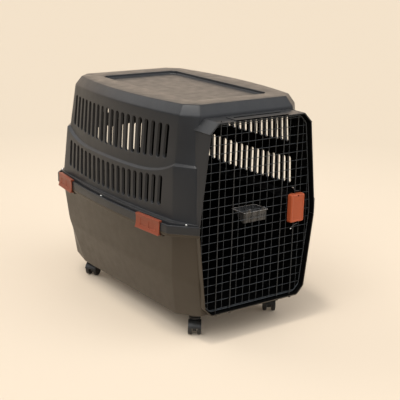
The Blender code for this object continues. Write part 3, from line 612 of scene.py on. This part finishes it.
def inset_outline(points, distance):
    """Move every edge of a convex outline inwards by the same distance."""
    lines = []
    for here, there in zip(points, points[1:] + points[:1]):
        run = Vector(there) - Vector(here)
        normal = Vector((run.y, -run.x)).normalized()
        lines.append((normal, normal.dot(Vector(here)) - distance))
    moved = []
    for (n1, d1), (n2, d2) in zip(lines[-1:] + lines[:-1], lines):
        cross = n1.x * n2.y - n1.y * n2.x
        moved.append(((d1 * n2.y - d2 * n1.y) / cross, (n1.x * d2 - n2.x * d1) / cross))
    return moved


def neck_outline(distance=0.0):
    """The door neck seen from the front, moved inwards, anticlockwise from the lower right."""
    return inset_outline(NECK_SIDE + [(-x, z) for x, z in reversed(NECK_SIDE)], distance)


def neck_loop(distance, corner):
    """The neck's outline with rounded corners, as pairs of across and height."""
    points = [(x, z, 0.0) for x, z in neck_outline(distance)]
    return [(p.x, p.y) for p in round_loop(points, [corner] * len(points))]


def body_front(z):
    """Y of the body's front face at a height."""
    levels = [BAND, LEDGE_TOP, LEDGE_EDGE, FOOT, WALL_TOP, CREASE_TOP]
    heights = [(level.z, level.front) for level in levels] + [(SILL_Z, BOTTOM.front)]
    if z >= heights[0][0]:
        return heights[0][1]
    for (high, y_high), (low, y_low) in zip(heights, heights[1:]):
        if z >= low:
            return y_low + (y_high - y_low) * (z - low) / (high - low)
    return BOTTOM.front


def neck_tube():
    """The whole neck as a tube with a rounded front edge, rooted in the front wall."""
    outer, inner = neck_loop(0.0, 0.006), neck_loop(WALL, 0.004)
    rows = [
        [(x, body_front(z) + NECK_ROOT, z) for x, z in outer],
        [(x, NECK_FRONT_Y, z) for x, z in outer],
        [(x, NECK_FRONT_Y, z) for x, z in inner],
        [(x, body_front(z) + NECK_ROOT, z) for x, z in inner],
    ]
    radii = [0.0, 0.0014, 0.0012, 0.0]
    first = rows_before(radii, 3) - 1
    return skin(round_rows(rows, radii), looped=True, inner=(first, first + 1))


def doorway():
    # The doorway's cut sides take the inner finish, near black as painted shade.
    loop = neck_loop(WALL / 2, 0.005)
    return skin([[(x, y, z) for x, z in loop] for y in DOORWAY_Y], inner=(0,))


def wall_reach(low, high, y, z):
    """X of the right outer wall between two levels, at a place along it and a height."""
    s = 0.0
    for _ in range(FIT_ROUNDS):
        z_low, z_high = side_point(low, s)[2], side_point(high, s)[2]
        t = (z - z_low) / (z_high - z_low)
        front = low.side_front + (high.side_front - low.side_front) * t
        rear = low.side_rear + (high.side_rear - low.side_rear) * t
        s = max(-1.0, min(1.0, (2 * y - front - rear) / (rear - front)))
    x_low, x_high = side_point(low, s)[0], side_point(high, s)[0]
    return x_low + (x_high - x_low) * t


def slot_loop(centre, low, high, grow):
    """A slot with round ends, grown all round, as pairs of across and height."""
    radius = SLOT_WIDTH / 2
    points = []
    for z, begin in ((high - radius, 0.0), (low + radius, math.pi)):
        for step in range(SLOT_END_STEPS + 1):
            angle = begin + math.pi * step / SLOT_END_STEPS
            reach = radius + grow
            points.append((centre + reach * math.cos(angle), z + reach * math.sin(angle)))
    return points


def slot_cutter(centre, low, high, point):
    """A cutter for one slot, wider at the outer face so that the slot gets a soft edge."""
    rows = []
    for depth, grow in SLOT_MOUTH:
        rows.append([point(across, z, depth) for across, z in slot_loop(centre, low, high, grow)])
    return skin(rows)


def side_slots():
    slots = []
    for index in range(SLOTS_PER_ROW):
        centre = SLOT_ROW_CENTRE_Y + SLOT_PITCH * (index - (SLOTS_PER_ROW - 1) / 2)
        rise = SLOT_RISE * ((centre - SLOT_ROW_CENTRE_Y) / SLOT_ROW_HALF) ** 2
        for wall, low, high in (
            ((LEDGE_TOP, BAND), UPPER_SLOT[0] + rise, UPPER_SLOT[1]),
            ((FOOT, LEDGE_EDGE), LOWER_SLOT[0] + rise, LOWER_SLOT[1] + rise),
        ):
            for sign in (-1, 1):
                def point(y, z, depth, wall=wall, sign=sign):
                    return sign * (wall_reach(*wall, y, z) - depth), y, z

                slots.append(slot_cutter(centre, low, high, point))
    return merged(slots)


def rear_slots():
    slots = []
    for (low, high), a, b in zip(REAR_SLOT_SPANS, (LEDGE_TOP, FOOT), (BAND, LEDGE_EDGE)):
        def point(x, z, depth, a=a, b=b):
            return x, a.rear + (b.rear - a.rear) * (z - a.z) / (b.z - a.z) - depth, z

        for index in range(REAR_SLOTS):
            centre = SLOT_PITCH * (index - (REAR_SLOTS - 1) / 2)
            slots.append(slot_cutter(centre, low, high, point))
    return merged(slots)


def upper_skin():
    """The hood's skin: roof recess, outside, rim, and back up the inside."""
    outside = [
        (inset(RECESS, 0.012, ROOF_Z - RECESS_DEPTH), 0.0),
        (inset(RECESS, 0.0005, ROOF_Z - RECESS_DEPTH), 0.005),
        (RECESS, 0.002),
        (ROOF, 0.0045),
        (BAND, 0.005),
        (LEDGE_TOP, 0.0014),
        (LEDGE_EDGE, 0.0012),
        (FOOT._replace(z=FOOT_Z - 0.002), 0.0022),
        (inset(RIDGE, 0.003, FOOT_Z), 0.0012),
        (RIDGE, 0.0014),
        (inset(RIDGE, -0.001, CHANNEL_Z), 0.0012),
        (rim(0.0072, CHANNEL_Z), 0.0012),
        (rim(0.0062, RIM_TOP_Z), 0.001),
        (rim(0.0, RIM_TOP_Z), 0.0036),
        (rim(0.0, RIM_BOTTOM_Z), 0.0008),
        (rim(RIM_LIP, RIM_BOTTOM_Z), 0.0),
        (rim(RIM_LIP, CHANNEL_Z - 0.003), 0.0),
        (HOLLOW._replace(z=CHANNEL_Z - 0.003), 0.0),
        (HOLLOW, 0.0),
        (inset(FOOT, SLOT_WALL, RIM_BOTTOM_Z), 0.0),
    ]
    inside = [
        (inset(FOOT, SLOT_WALL), 0.0),
        (inset(LEDGE_EDGE, SLOT_WALL, LEDGE_EDGE.z - WALL), 0.0),
        (inset(LEDGE_TOP, SLOT_WALL, LEDGE_TOP.z - WALL), 0.0),
        (inset(BAND, SLOT_WALL, BAND.z - WALL / 2), 0.0),
        (inset(ROOF, 1.5 * WALL, ROOF_Z - WALL), 0.0),
        (inset(RECESS, -WALL, ROOF_Z - WALL), 0.0),
        (inset(RECESS, -WALL, ROOF_Z - RECESS_DEPTH - WALL), 0.0),
    ]
    return shell_skin(outside, inside, True)


def lower_skin():
    """The pan's skin: inside floor, up the inside, over the rim plate and down the outside."""
    floor_edge = inset(UNDERSIDE, WALL, FLOOR_Z)
    floor_turn = inset(BOTTOM, 1.5 * WALL, BOTTOM_EDGE_Z + FLOOR_TURN_RISE)._replace(
        front_lift=BOTTOM.front_lift - FLOOR_TURN_RISE / 2
    )
    inside = [
        (floor_edge, 0.0),
        (floor_turn, 0.006),
        (inset(CREASE_FOOT, WALL), 0.0),
        (inset(CREASE_TOP, WALL), 0.0),
        (inset(WALL_TOP, WALL, PARTING_Z), 0.0),
    ]
    outside = [
        (RIM._replace(z=PARTING_Z), 0.0006),
        (RIM._replace(z=RIM_PLATE_Z), 0.0014),
        (WALL_TOP, 0.003),
        (CREASE_TOP, 0.01),
        (CREASE_FOOT, 0.01),
        (BOTTOM, 0.004),
        (UNDERSIDE, 0.003),
    ]
    return shell_skin(inside, outside, False)


def deck_plate():
    """The raised plate on top of the neck, and its cuts: step, gap, dark line and pin holes; the gap
    and line are in the near-black inner finish, as painted shade.
    """
    (left, right), (front, back) = DECK_X, DECK_Y
    top = NECK_TOP_Z + DECK_RISE
    plate = box_mesh((left, front, NECK_TOP_Z - 0.001), (right, back, top))
    step = box_mesh((left, -0.47, NECK_TOP_Z - 0.0025), (right, front, top + 0.01))
    # The gap and the line are in the inner finish, painted near black as shade.
    gap_low = (left, front - 0.001, NECK_TOP_Z - 0.0022)
    gap = box_mesh(gap_low, (right, front + 0.005, top - 0.001), True)
    line_low = (left + 0.02, DECK_LINE_Y[0], top - 0.0048)
    line = box_mesh(line_low, (right, DECK_LINE_Y[1], top + 0.01), True)
    holes = merged([upright(x, ROD_Y, 0.755, 0.78, PIN_HOLE_RADIUS) for x in (-ROD_X, ROD_X)])
    return plate, (step, gap, line, holes)


def shoulder_lips():
    """Thin plates on the clipped upper corners of the neck, which stand proud of its sides."""
    top, shoulder = Vector(NECK_TOP), Vector(NECK_SHOULDER)
    down = (shoulder - top).normalized()
    out = Vector((-down.y, down.x)) * LIP_THICKNESS
    foot, head = shoulder + down * LIP_OVERHANG, top + down * 0.001
    corners = [head - out, head + out, foot + out, foot - out]
    lips = []
    for sign in (-1, 1):
        lips.append(skin([[(sign * c.x, y, c.y) for c in corners] for y in LIP_Y]))
    return merged(lips)


def build_upper_shell():
    plate, cuts = deck_plate()
    below = box_mesh((-1, -1, -1), (1, 1, RIM_BOTTOM_Z + NECK_STEP))
    neck = carved(finished(neck_tube(), *HOOD_FINISHES), cutting(below))
    steps = cutting(doorway()) + joining(neck, plate, shoulder_lips())
    steps += cutting(*cuts, side_slots(), rear_slots())
    mesh = carved(finished(upper_skin(), *HOOD_FINISHES), steps)
    add_piece("upper_shell_form", mesh, "crate", "dark_grey_plastic", ["upper_shell"])


def clip_lugs():
    """The lugs below the rim that hold both ends of each clip's pin."""
    lugs = []
    for _, matrix in clip_frames():
        for side in (-1, 1):
            centre = side * (CLIP_LENGTH / 2 + TOUCH_GAP * 2 + LUG_THICKNESS / 2)
            low = (-0.0225, centre - LUG_THICKNESS / 2, CLIP_PIVOT_Z - 0.0045)
            high = (-0.003, centre + LUG_THICKNESS / 2, RIM_PLATE_Z + 0.002)
            lugs.append(placed(box_mesh(low, high), matrix))
    return merged(lugs)


def build_lower_shell():
    above = box_mesh((-1, -1, PARTING_Z - NECK_STEP), (1, 1, 2))
    neck = carved(finished(neck_tube(), *PAN_FINISHES), cutting(above))
    rods = (-ROD_X, -STIFFENER_X, STIFFENER_X, ROD_X)
    bosses = [upright(x, ROD_Y, *BOSS_Z, BOSS_RADIUS, 20) for x in rods]
    for x in (-CASTER_X, CASTER_X):
        for y in (CASTER_FRONT_Y, CASTER_REAR_Y):
            bosses.append(upright(x, y, PAD_Z, FLOOR_Z - 0.001, PAD_RADIUS, 40))
    holes = merged([upright(x, ROD_Y, 0.09, 0.12, PIN_HOLE_RADIUS) for x in (-ROD_X, ROD_X)])
    steps = cutting(doorway()) + joining(neck, merged(bosses), clip_lugs()) + cutting(holes)
    mesh = carved(finished(lower_skin(), *PAN_FINISHES), steps)
    add_piece("lower_shell_form", mesh, "crate", "warm_grey_plastic", ["lower_shell"])


# Door

def span_at(outline, height):
    """Lowest and highest across value of a convex outline at a height."""
    crossings = []
    for (x1, z1), (x2, z2) in zip(outline, outline[1:] + outline[:1]):
        if (z1 - height) * (z2 - height) < 0:
            crossings.append(x1 + (x2 - x1) * (height - z1) / (z2 - z1))
    return (min(crossings), max(crossings)) if len(crossings) == 2 else None


def build_door():
    """The mesh in its frame wire, the hinge rod and the two stiffeners."""
    outline = neck_outline(WALL + DOOR_GAP + FRAME_RADIUS)
    turned = [(z, x) for x, z in outline]
    wires = []
    for row in WIRE_ROWS:
        z = GRILLE_FOOT_Z + row * WIRE_PITCH
        span = span_at(outline, z)
        if span:
            wires.append(tube([(x, ROW_WIRE_Y, z) for x in span], WIRE_RADIUS))
    for column in WIRE_COLUMNS:
        x = (column + 0.5) * WIRE_PITCH
        behind_rod = min(abs(abs(x) - ROD_X), abs(abs(x) - STIFFENER_X)) < ROD_RADIUS
        span = span_at(turned, x)
        if span and not behind_rod:
            wires.append(tube([(x, COLUMN_WIRE_Y, z) for z in span], WIRE_RADIUS))
    corners = [(x, FRAME_WIRE_Y, z) for x, z in outline]
    loop = round_loop(corners, [FRAME_CORNER] * len(corners), FINE_STEPS)
    wires.append(tube(loop, FRAME_RADIUS, 14, closed=True))
    add_piece("door_wire_mesh", merged(wires), "door", "black_wire", ["door_grille"])

    hinge = upright(-ROD_X, ROD_Y, NECK_BOTTOM_Z - 0.006, NECK_TOP_Z + 0.005, ROD_RADIUS)
    add_piece("hinge_rod_form", hinge, "door", "coated_rod", ["door_hinge_rod"])
    low, high = NECK_BOTTOM_Z + WALL + DOOR_GAP, NECK_TOP_Z - WALL - DOOR_GAP
    for side, x in (("left", -STIFFENER_X), ("right", STIFFENER_X)):
        mesh = upright(x, ROD_Y, low, high, ROD_RADIUS)
        add_piece(f"stiffener_{side}_form", mesh, "door", "coated_rod", [f"door_stiffener_{side}"])


def rounded_rectangle(half_width, half_height, corner):
    """Outline of a rectangle with round corners, as pairs of across and height."""
    signs = ((1, -1), (1, 1), (-1, 1), (-1, -1))
    points = [(a * half_width, b * half_height, 0) for a, b in signs]
    return [(p.x, p.y) for p in round_loop(points, [corner] * 4, FINE_STEPS)]


def build_latch():
    """A rounded housing with a sunk front panel, and its two bolts with bent grips."""
    half_width, half_height = LATCH_WIDTH / 2, LATCH_HEIGHT / 2
    rows = []
    for y, cut, _ in LATCH_SECTIONS:
        plan = rounded_rectangle(half_width - cut, half_height - cut, LATCH_CORNER - cut / 3)
        rows.append([(LATCH_X + x, y, LATCH_Z + z) for x, z in plan])
    block = skin(round_rows(rows, [radius for _, _, radius in LATCH_SECTIONS]))
    channel = box_mesh(
        (ROD_X - LATCH_CHANNEL, ROD_Y - LATCH_CHANNEL, 0.3), (ROD_X + LATCH_CHANNEL, -0.4, 0.6)
    )
    hole_z, foot_z = LATCH_Z + half_height - 0.006, LATCH_Z - half_height
    hole = tube([(LATCH_X, y, hole_z) for y in (-0.48, -0.458)], 0.0036, 16)
    notch = tube([(LATCH_X, y, foot_z) for y in (-0.48, -0.456)], 0.0044, 16)
    block = carved(block, cutting(channel, hole, notch))
    add_piece("latch_housing_form", block, "door", "terracotta_plastic", ["latch_housing"])

    for end, low, high, grip_z, up in BOLTS:
        name, body = f"latch_bolt_{end}", f"latch_{end}"
        path = [Vector((ROD_X + x, ROD_Y + y, grip_z + z * up)) for x, y, z in GRIP_PATH]
        grip = tube(smooth_path(path), GRIP_RADIUS, 10)
        bolt = merged([upright(ROD_X, ROD_Y, low, high, ROD_RADIUS), grip])
        add_piece(f"{name}_form", bolt, body, "coated_rod", [name])
        tip = tube([path[0], path[0] + Vector((-0.004, 0, 0.002 * up))], 0.0022, 14)
        add_piece(f"{name}_grip_tip", tip, body, "pin_steel")


def build_bowl():
    """A bowl with a slanted back and a rim painted lighter as a highlight, and the two hooks that it
    hangs by.
    """
    far = BOWL_NEAR_Y + BOWL_REACH

    def section(inwards, z, slant):
        near, back, half = BOWL_NEAR_Y + inwards, far - inwards - slant, BOWL_HALF_WIDTH - inwards
        points = [(half, near, z), (half, back, z), (-half, back, z), (-half, near, z)]
        return round_loop(points, BOWL_CORNERS, 6)

    rim_z, floor_z = BOWL_RIM_Z, BOWL_RIM_Z - BOWL_DEPTH
    flange_z, inner_z = rim_z - BOWL_WALL, floor_z + BOWL_WALL
    sections = (  # how far inwards, height, slant, radius of the edge
        (0.011, floor_z, BOWL_SLANT, 0.0), (0.005, floor_z, BOWL_SLANT, 0.003),
        (BOWL_FLANGE, flange_z, 0.0, 0.001), (0.0, flange_z, 0.0, 0.0006),
        (0.0, rim_z, 0.0, 0.0006), (BOWL_FLANGE + BOWL_WALL, rim_z, 0.0, 0.001),
        (0.005 + BOWL_WALL, inner_z, BOWL_SLANT, 0.003), (0.011, inner_z, BOWL_SLANT, 0.0),
    )
    radii = [row[3] for row in sections]
    lit_rim = range(rows_before(radii, 3), rows_before(radii, 5))
    meshes = [skin(round_rows([section(*row[:3]) for row in sections], radii), inner=lit_rim)]
    for x in (-WIRE_PITCH, WIRE_PITCH):
        hook = tube(smooth_path([(x, y, z) for y, z in HOOK_PATH], 4), HOOK_RADIUS, 8)
        for vertex in hook.vertices:
            vertex.co.x = x + (vertex.co.x - x) * HOOK_WIDENING
        meshes.append(hook)
    mesh = finished(merged(meshes), *SMOKED)
    add_piece("water_bowl_form", mesh, "bowl", "smoked_plastic", ["water_bowl"])


# Rim clips

def rim_place(y):
    """Distance of the rim's outer edge from the middle at a place along it, and its slope."""
    middle = (RIM.side_front + RIM.side_rear) / 2
    half = (RIM.side_rear - RIM.side_front) / 2
    s = (y - middle) / half
    reach = RIM.side + RIM.bulge * (1 - s * s) - RIM.taper * s
    return reach, math.atan((2 * RIM.bulge * s + RIM.taper) / half)


def clip_frames():
    """Name and matrix of each clip: local +X points outwards, local Y runs along the rim."""
    for end, y in CLIP_PLACES:
        reach, slope = rim_place(y)
        for side, x, turn in (("left", -reach, math.pi - slope), ("right", reach, slope)):
            yield f"{end}_{side}", Matrix.Translation((x, y, 0)) @ Matrix.Rotation(turn, 4, "Z")


def build_clips():
    """The clips with their barrels and sunk panels, and the pins that they turn on."""
    def along_pivot(reach, radius, sides):
        return tube([(-CLIP_PIVOT_INSET, y, CLIP_PIVOT_Z) for y in (-reach, reach)], radius, sides)

    half = CLIP_LENGTH / 2
    for name, matrix in clip_frames():
        body = skin([[(x, y, z) for x, z in CLIP_PROFILE] for y in (-half, half)])
        panels = [box_mesh((0.003, near, 0.396), (0.02, far, 0.42)) for near, far in CLIP_PANELS]
        body = carved(body, joining(along_pivot(half, CLIP_BARREL_RADIUS, 18)) + cutting(*panels))
        # The clips take the darker copy of the terracotta, as painted shade.
        body = finished(placed(body, matrix), "terracotta_clip_plastic")
        add_piece(f"clip_{name}_form", body, f"clip_{name}", "terracotta_plastic",
                  [f"clip_{name}"], bevel=0.0006)
        pin = placed(along_pivot(half + LUG_THICKNESS + 0.0005, CLIP_PIN_RADIUS, 12), matrix)
        add_piece(f"clip_pin_{name}_form", pin, "crate", "pin_steel", [f"clip_pin_{name}"])


# Casters

def arc(radius, begin, end, steps):
    """Points round the hub, as pairs of trail and height."""
    angles = [math.radians(begin + (end - begin) * k / steps) for k in range(steps + 1)]
    return [(CASTER_TRAIL + radius * math.cos(a), HUB_Z + radius * math.sin(a)) for a in angles]


def caster_fork():
    """Web between the wheels, hood over them and swivel housing, with bores for stem and axle."""
    def across(outline, half):
        return skin([[(side, trail, z) for trail, z in outline] for side in (-half, half)])

    over, under = (arc(radius, *HOOD_ANGLES, 24) for radius in HOOD_RADII)
    hood = across(over + under[::-1], HOOD_HALF)
    web = across(arc(*WEB_ARC, 16) + WEB_TOP, WEB_HALF)
    stem_bore = upright(0, 0, 0.052, 0.07, STEM_BORE)
    axle_bore = tube([(x, CASTER_TRAIL, HUB_Z) for x in (-0.02, 0.02)], AXLE_BORE, 16)
    return carved(web, joining(hood, lathe(HOUSING_PROFILE, 32)) + cutting(stem_bore, axle_bore))


def build_casters():
    """Twin-wheel casters; local Y is the way that the wheels trail behind the swivel."""
    sideways = Matrix.Rotation(math.pi / 2, 4, "Y")
    disc = lathe([(radius, WHEEL_INNER + depth) for radius, depth in WHEEL_PROFILE], 48)
    axle = upright(0, 0, -0.0215, 0.0215, AXLE_RADIUS)
    for place, x, y, heading in CASTERS:
        name = f"caster_{place}"
        at = Matrix.Translation((x, y, 0)) @ Matrix.Rotation(math.radians(heading), 4, "Z")
        stem = upright(0, 0, 0.0525, PAD_Z - 0.002, STEM_RADIUS)
        mount = merged([placed(lathe(PLATE_PROFILE, 36), at), placed(stem, at)])
        add_piece(f"{name}_plate", mount, "crate", "black_plastic", [f"{name}_mount"])

        fork = placed(caster_fork(), at)
        add_piece(f"{name}_fork_form", fork, f"{name}_swivel", "black_plastic",
                  [f"{name}_fork"], bevel=0.0007)

        hub = at @ Matrix.Translation((0, CASTER_TRAIL, HUB_Z)) @ sideways
        parts = [placed(disc, hub @ Matrix.Scale(sign, 4, (0, 0, 1))) for sign in (-1, 1)]
        wheels = merged(parts + [placed(axle, hub)])
        add_piece(f"{name}_wheel_pair", wheels, f"{name}_wheel", "wheel_plastic", [f"{name}_wheels"])


# Screws along the rim

def build_screws():
    """Cross-slotted heads in the rim's channel, three on each side."""
    places = [(rim_place(SCREW_MIDDLE_Y)[0] - 0.0125, SCREW_MIDDLE_Y, CHANNEL_Z + 0.0025)]
    places += [(x, y, CHANNEL_Z + 0.0062) for x, y in SCREW_END_PLACES]
    heads = []
    for sign in (-1, 1):
        for x, y, z in places:
            slots = [box_mesh((-a, -b, 0.005), (a, b, 0.009)) for a, b in CROSS_SLOTS]
            head = carved(lathe(SCREW_PROFILE, 20), cutting(*slots))
            heads.append(placed(head, Matrix.Translation((sign * x, y, z))))
    add_piece("rim_screws", merged(heads), "crate", "pin_steel")


# Materials

def fill(made, inputs):
    """Set a node's inputs, each to a value or to an output socket to link from."""
    for key, value in inputs.items():
        socket = made.inputs[key]
        if isinstance(value, bpy.types.NodeSocket):
            made.id_data.links.new(value, socket)
        elif socket.type == "RGBA":
            socket.default_value = (*value, 1.0)
        else:
            socket.default_value = value
    return made


def node(owner, kind, inputs=(), **settings):
    """A new shader node in the tree that owns a node or socket."""
    made = owner.id_data.nodes.new("ShaderNode" + kind)
    for key, value in settings.items():
        setattr(made, key, value)
    return fill(made, dict(inputs))


def new_finish(name):
    """A new finish's shader, and the object's own coordinates."""
    FINISHES[name] = bpy.data.materials.new(name)
    FINISHES[name].use_nodes = True
    shader = FINISHES[name].node_tree.nodes["Principled BSDF"]
    return shader, node(shader, "TexCoord").outputs["Object"]


def noise(coords, scale, detail=3.0, roughness=0.55):
    inputs = {"Vector": coords, "Scale": scale, "Detail": detail, "Roughness": roughness}
    return node(coords, "TexNoise", inputs).outputs["Fac"]


def stretched_noise(coords, scale, detail, roughness=0.55):
    """A noise with its own scale along each axis."""
    coords = node(coords, "Mapping", {"Vector": coords, "Scale": scale}).outputs[0]
    return noise(coords, 1.0, detail, roughness)


def spread(value, low, high, out_low=0.0, out_high=1.0):
    """Map one range of a value to another, clamped."""
    return node(value, "MapRange", {
        "Value": value, "From Min": low, "From Max": high, "To Min": out_low, "To Max": out_high,
    }).outputs["Result"]


def maths(operation, a, b, **settings):
    return node(a, "Math", {0: a, 1: b}, operation=operation, **settings).outputs[0]


def times(a, b):
    return maths("MULTIPLY", a, b)


def mix(share, a, b):
    """Mix two colours by a share, from 0 for the first to 1 for the second."""
    return node(share, "Mix", {0: share, 6: a, 7: b}, data_type="RGBA").outputs[2]


def shade(colour, factor):
    return tuple(c * factor for c in colour)


def bumps(height, strength, distance, **below):
    """Surface normals of a bump, on top of those below it."""
    inputs = {"Height": height, "Strength": strength, "Distance": distance, **below}
    return node(height, "Bump", inputs).outputs[0]


def worn_and_highlit_edges(coords, radius, amount):
    """Share of wear on edges, which also serves as a painted highlight along them, broken up by a
    noise.
    """
    soft = node(coords, "Bevel", {"Radius": radius}, samples=6).outputs["Normal"]
    sharp = node(coords, "NewGeometry").outputs["Normal"]
    same = node(soft, "VectorMath", {0: soft, 1: sharp}, operation="DOT_PRODUCT").outputs["Value"]
    edge = spread(same, 0.995, 0.9)
    patches = spread(noise(coords, 45.0, 4.0), 0.35, 0.62)
    return times(times(edge, patches), amount)


def moulded_plastic(name, colour, dust, roughness, grain, edge_wear_and_highlight, gloss):
    """Plastic with a fine moulded grain, faint blotches, scuffs, settled dust, and rubbed edges
    lightened also as a painted highlight.
    """
    shader, coords = new_finish(name)
    blotch = spread(noise(coords, 9.0, 5.0), 0.3, 0.7)
    base = mix(blotch, shade(colour, 0.94), shade(colour, 1.07))
    scuff = stretched_noise(coords, (14.0, 14.0, 190.0), 6.0, 0.7)
    scuff = times(spread(scuff, 0.63, 0.74), 0.16)
    base = mix(scuff, base, shade(colour, 2.2))
    normal = node(coords, "NewGeometry").outputs["Normal"]
    up = node(normal, "SeparateXYZ", {0: normal}).outputs[2]
    settled = times(spread(up, 0.35, 1.0), spread(noise(coords, 60.0, 6.0), 0.3, 0.8))
    base = mix(times(settled, DUST_SHARE), base, dust)
    # Edges are lightened both as wear and as a painted highlight along them.
    rubbed_and_highlit = tuple(2.0 * c + 0.045 for c in colour)
    base = mix(worn_and_highlit_edges(coords, 0.0012, edge_wear_and_highlight), base, rubbed_and_highlit)
    sheen = noise(coords, 30.0, 5.0)
    fine = bumps(noise(coords, 950.0, 2.0, 0.6), grain, 0.0006)
    fill(shader, {
        "Base Color": base,
        "Roughness": spread(sheen, 0.25, 0.75, roughness - 0.06, roughness + 0.08),
        "Specular IOR Level": gloss,
        "Normal": bumps(noise(coords, 16.0, 2.0), 0.05, 0.004, Normal=fine),
    })


def coated_wire(name, *colour):
    """Dark coating on wire, with thin spots, small chips and a faint orange-peel surface."""
    shader, coords = new_finish(name)
    patches = spread(noise(coords, 70.0, 5.0), 0.35, 0.75)
    base = mix(patches, shade(colour, 0.8), shade(colour, 1.35))
    chips = spread(noise(coords, 260.0, 3.0, 0.7), 0.72, 0.76)
    fill(shader, {
        "Base Color": mix(times(chips, 0.5), base, shade(colour, 3.5)),
        "Roughness": spread(patches, 0.0, 1.0, 0.25, 0.4),
        "Metallic": 0.1,
        "Specular Tint": WIRE_TINT,
        "Normal": bumps(noise(coords, 700.0), 0.12, 0.0003),
    })


def plain_steel(name):
    """Steel with a fine brushed grain."""
    shader, coords = new_finish(name)
    grain = stretched_noise(coords, (900, 900, 60), 4.0)
    fill(shader, {
        "Base Color": mix(grain, *STEEL_COLOURS),
        "Roughness": spread(grain, 0.2, 0.8, 0.22, 0.42),
        "Metallic": 1.0,
        "Normal": bumps(grain, 0.08, 0.0002),
    })


def smoked_plastic(name, *greys):
    """Smoked plastic with faint flow marks and fingerprints, a little see-through."""
    shader, coords = new_finish(name)
    flow = stretched_noise(coords, (160, 60, 12), 3.0)
    dark, light = ((grey,) * 3 for grey in greys)
    fill(shader, {
        "Base Color": mix(spread(flow, 0.35, 0.65), dark, light),
        "Roughness": spread(noise(coords, 80.0, 5.0), 0.3, 0.7, 0.12, 0.24),
        "Alpha": SMOKED_ALPHA,
        "IOR": 1.49,
        "Normal": bumps(flow, 0.04, 0.0005),
    })


# Stage, camera and light

def pale_in_view(owner, share):
    """A share for rays that see the background: straight, mirrored or through clear plastic."""
    rays = node(owner, "LightPath").outputs
    seen = maths("ADD", rays["Is Camera Ray"], rays["Is Glossy Ray"])
    seen = maths("ADD", seen, rays["Is Transmission Ray"])
    return maths("MULTIPLY", seen, share, use_clamp=True)


def build_stage():
    """A plain pale floor that runs past the horizon of the picture and keeps a soft shadow, painted
    darker away from the crate as a painted falloff of light.
    """
    shape = bmesh.new()
    bmesh.ops.create_circle(shape, cap_ends=True, segments=96, radius=FLOOR_RADIUS)
    shader, coords = new_finish("studio_floor")
    near = mix(noise(coords, 0.8), *FLOOR_NEAR)
    distance = node(coords, "VectorMath", {0: coords}, operation="LENGTH").outputs["Value"]
    # Painted falloff of light: darker with distance from the crate.
    base = mix(spread(distance, 0.6, 3.0), near, FLOOR_FAR_PAINTED_DIM)
    fill(shader, {"Base Color": base, "Roughness": 0.9, "Specular IOR Level": 0.1})
    glow = node(base, "Emission", {"Color": base, "Strength": 1.0}).outputs[0]
    shares = {0: pale_in_view(base, FLOOR_GLOW), 1: shader.outputs[0], 2: glow}
    lit = node(base, "MixShader", shares).outputs[0]
    fill(shader.id_data.nodes["Material Output"], {"Surface": lit})
    floor = shown("studio_floor", finished(finish_mesh(shape), "studio_floor"))


def build_world():
    """A weak dome that is darkest in front, three softboxes and a warm backdrop behind."""
    world = bpy.data.worlds.new("studio")
    bpy.context.scene.world = world
    world.use_nodes = True
    background = world.node_tree.nodes["Background"]
    ways = node(background, "TexCoord").outputs["Generated"]
    height = node(ways, "SeparateXYZ", {0: ways}).outputs[2]

    def towards(way, low, high):
        near = node(ways, "VectorMath", {0: ways, 1: way}, operation="DOT_PRODUCT").outputs["Value"]
        return spread(near, low, high)

    dome = mix(spread(height, 0.02, 0.45), DOME_LOW, DOME_MIDDLE)
    dome = mix(spread(height, 0.45, 0.75), dome, DOME_TOP)
    low_down = spread(height, 0.2, 0.5, 0.7, 0.0)
    dome = mix(times(towards(DARK_SIDE_WAY, 0.1, 0.8), low_down), dome, DARK_SIDE)
    for way, begins, full, light in SOFTBOXES:
        dome = mix(towards(way, begins, full), dome, light)
    low_down = spread(height, 0.3, 0.6, 1.0, 0.0)
    dome = mix(times(towards(BACKDROP_WAY, 0.35, 0.85), low_down), dome, BACKDROP)
    fill(background, {"Color": dome, "Strength": 1.0})


def build_lights():
    key = bpy.data.lights.new("key", "SUN")
    key.energy = KEY_ENERGY
    key.angle = math.radians(KEY_ANGLE)
    key.color = KEY_COLOUR
    holder = shown("key", key)
    holder.rotation_mode = "QUATERNION"
    holder.rotation_quaternion = Vector(KEY_WAY).to_track_quat("Z", "Y")


def build_camera():
    yaw, pitch, roll = (math.radians(a) for a in CAMERA_TURN)
    back = Vector((math.sin(yaw) * math.cos(pitch), -math.cos(yaw) * math.cos(pitch), math.sin(pitch)))
    level_right = Vector((math.cos(yaw), math.sin(yaw), 0.0))
    level_up = back.cross(level_right)
    right = level_right * math.cos(roll) + level_up * math.sin(roll)
    up = level_up * math.cos(roll) - level_right * math.sin(roll)
    data = bpy.data.cameras.new("camera")
    data.lens = CAMERA_LENS
    data.sensor_width = 36.0
    camera = shown("camera", data)
    turn = Matrix((right, up, back)).transposed().to_4x4()
    camera.matrix_world = Matrix.Translation(CAMERA_PLACE) @ turn
    bpy.context.scene.camera = camera


def build_finishes():
    """Every finish, each under its own name in the table."""
    for make, table in ((moulded_plastic, PLASTICS), (coated_wire, WIRES), (smoked_plastic, SMOKED)):
        for name, values in table.items():
            make(name, *values)
    plain_steel("pin_steel")


def main():
    build_camera()
    build_finishes()
    build_upper_shell()
    build_lower_shell()
    build_door()
    build_latch()
    build_bowl()
    build_clips()
    build_casters()
    build_screws()
    build_stage()
    build_world()
    build_lights()
    bpy.context.scene.view_settings.view_transform = "Standard"


main()
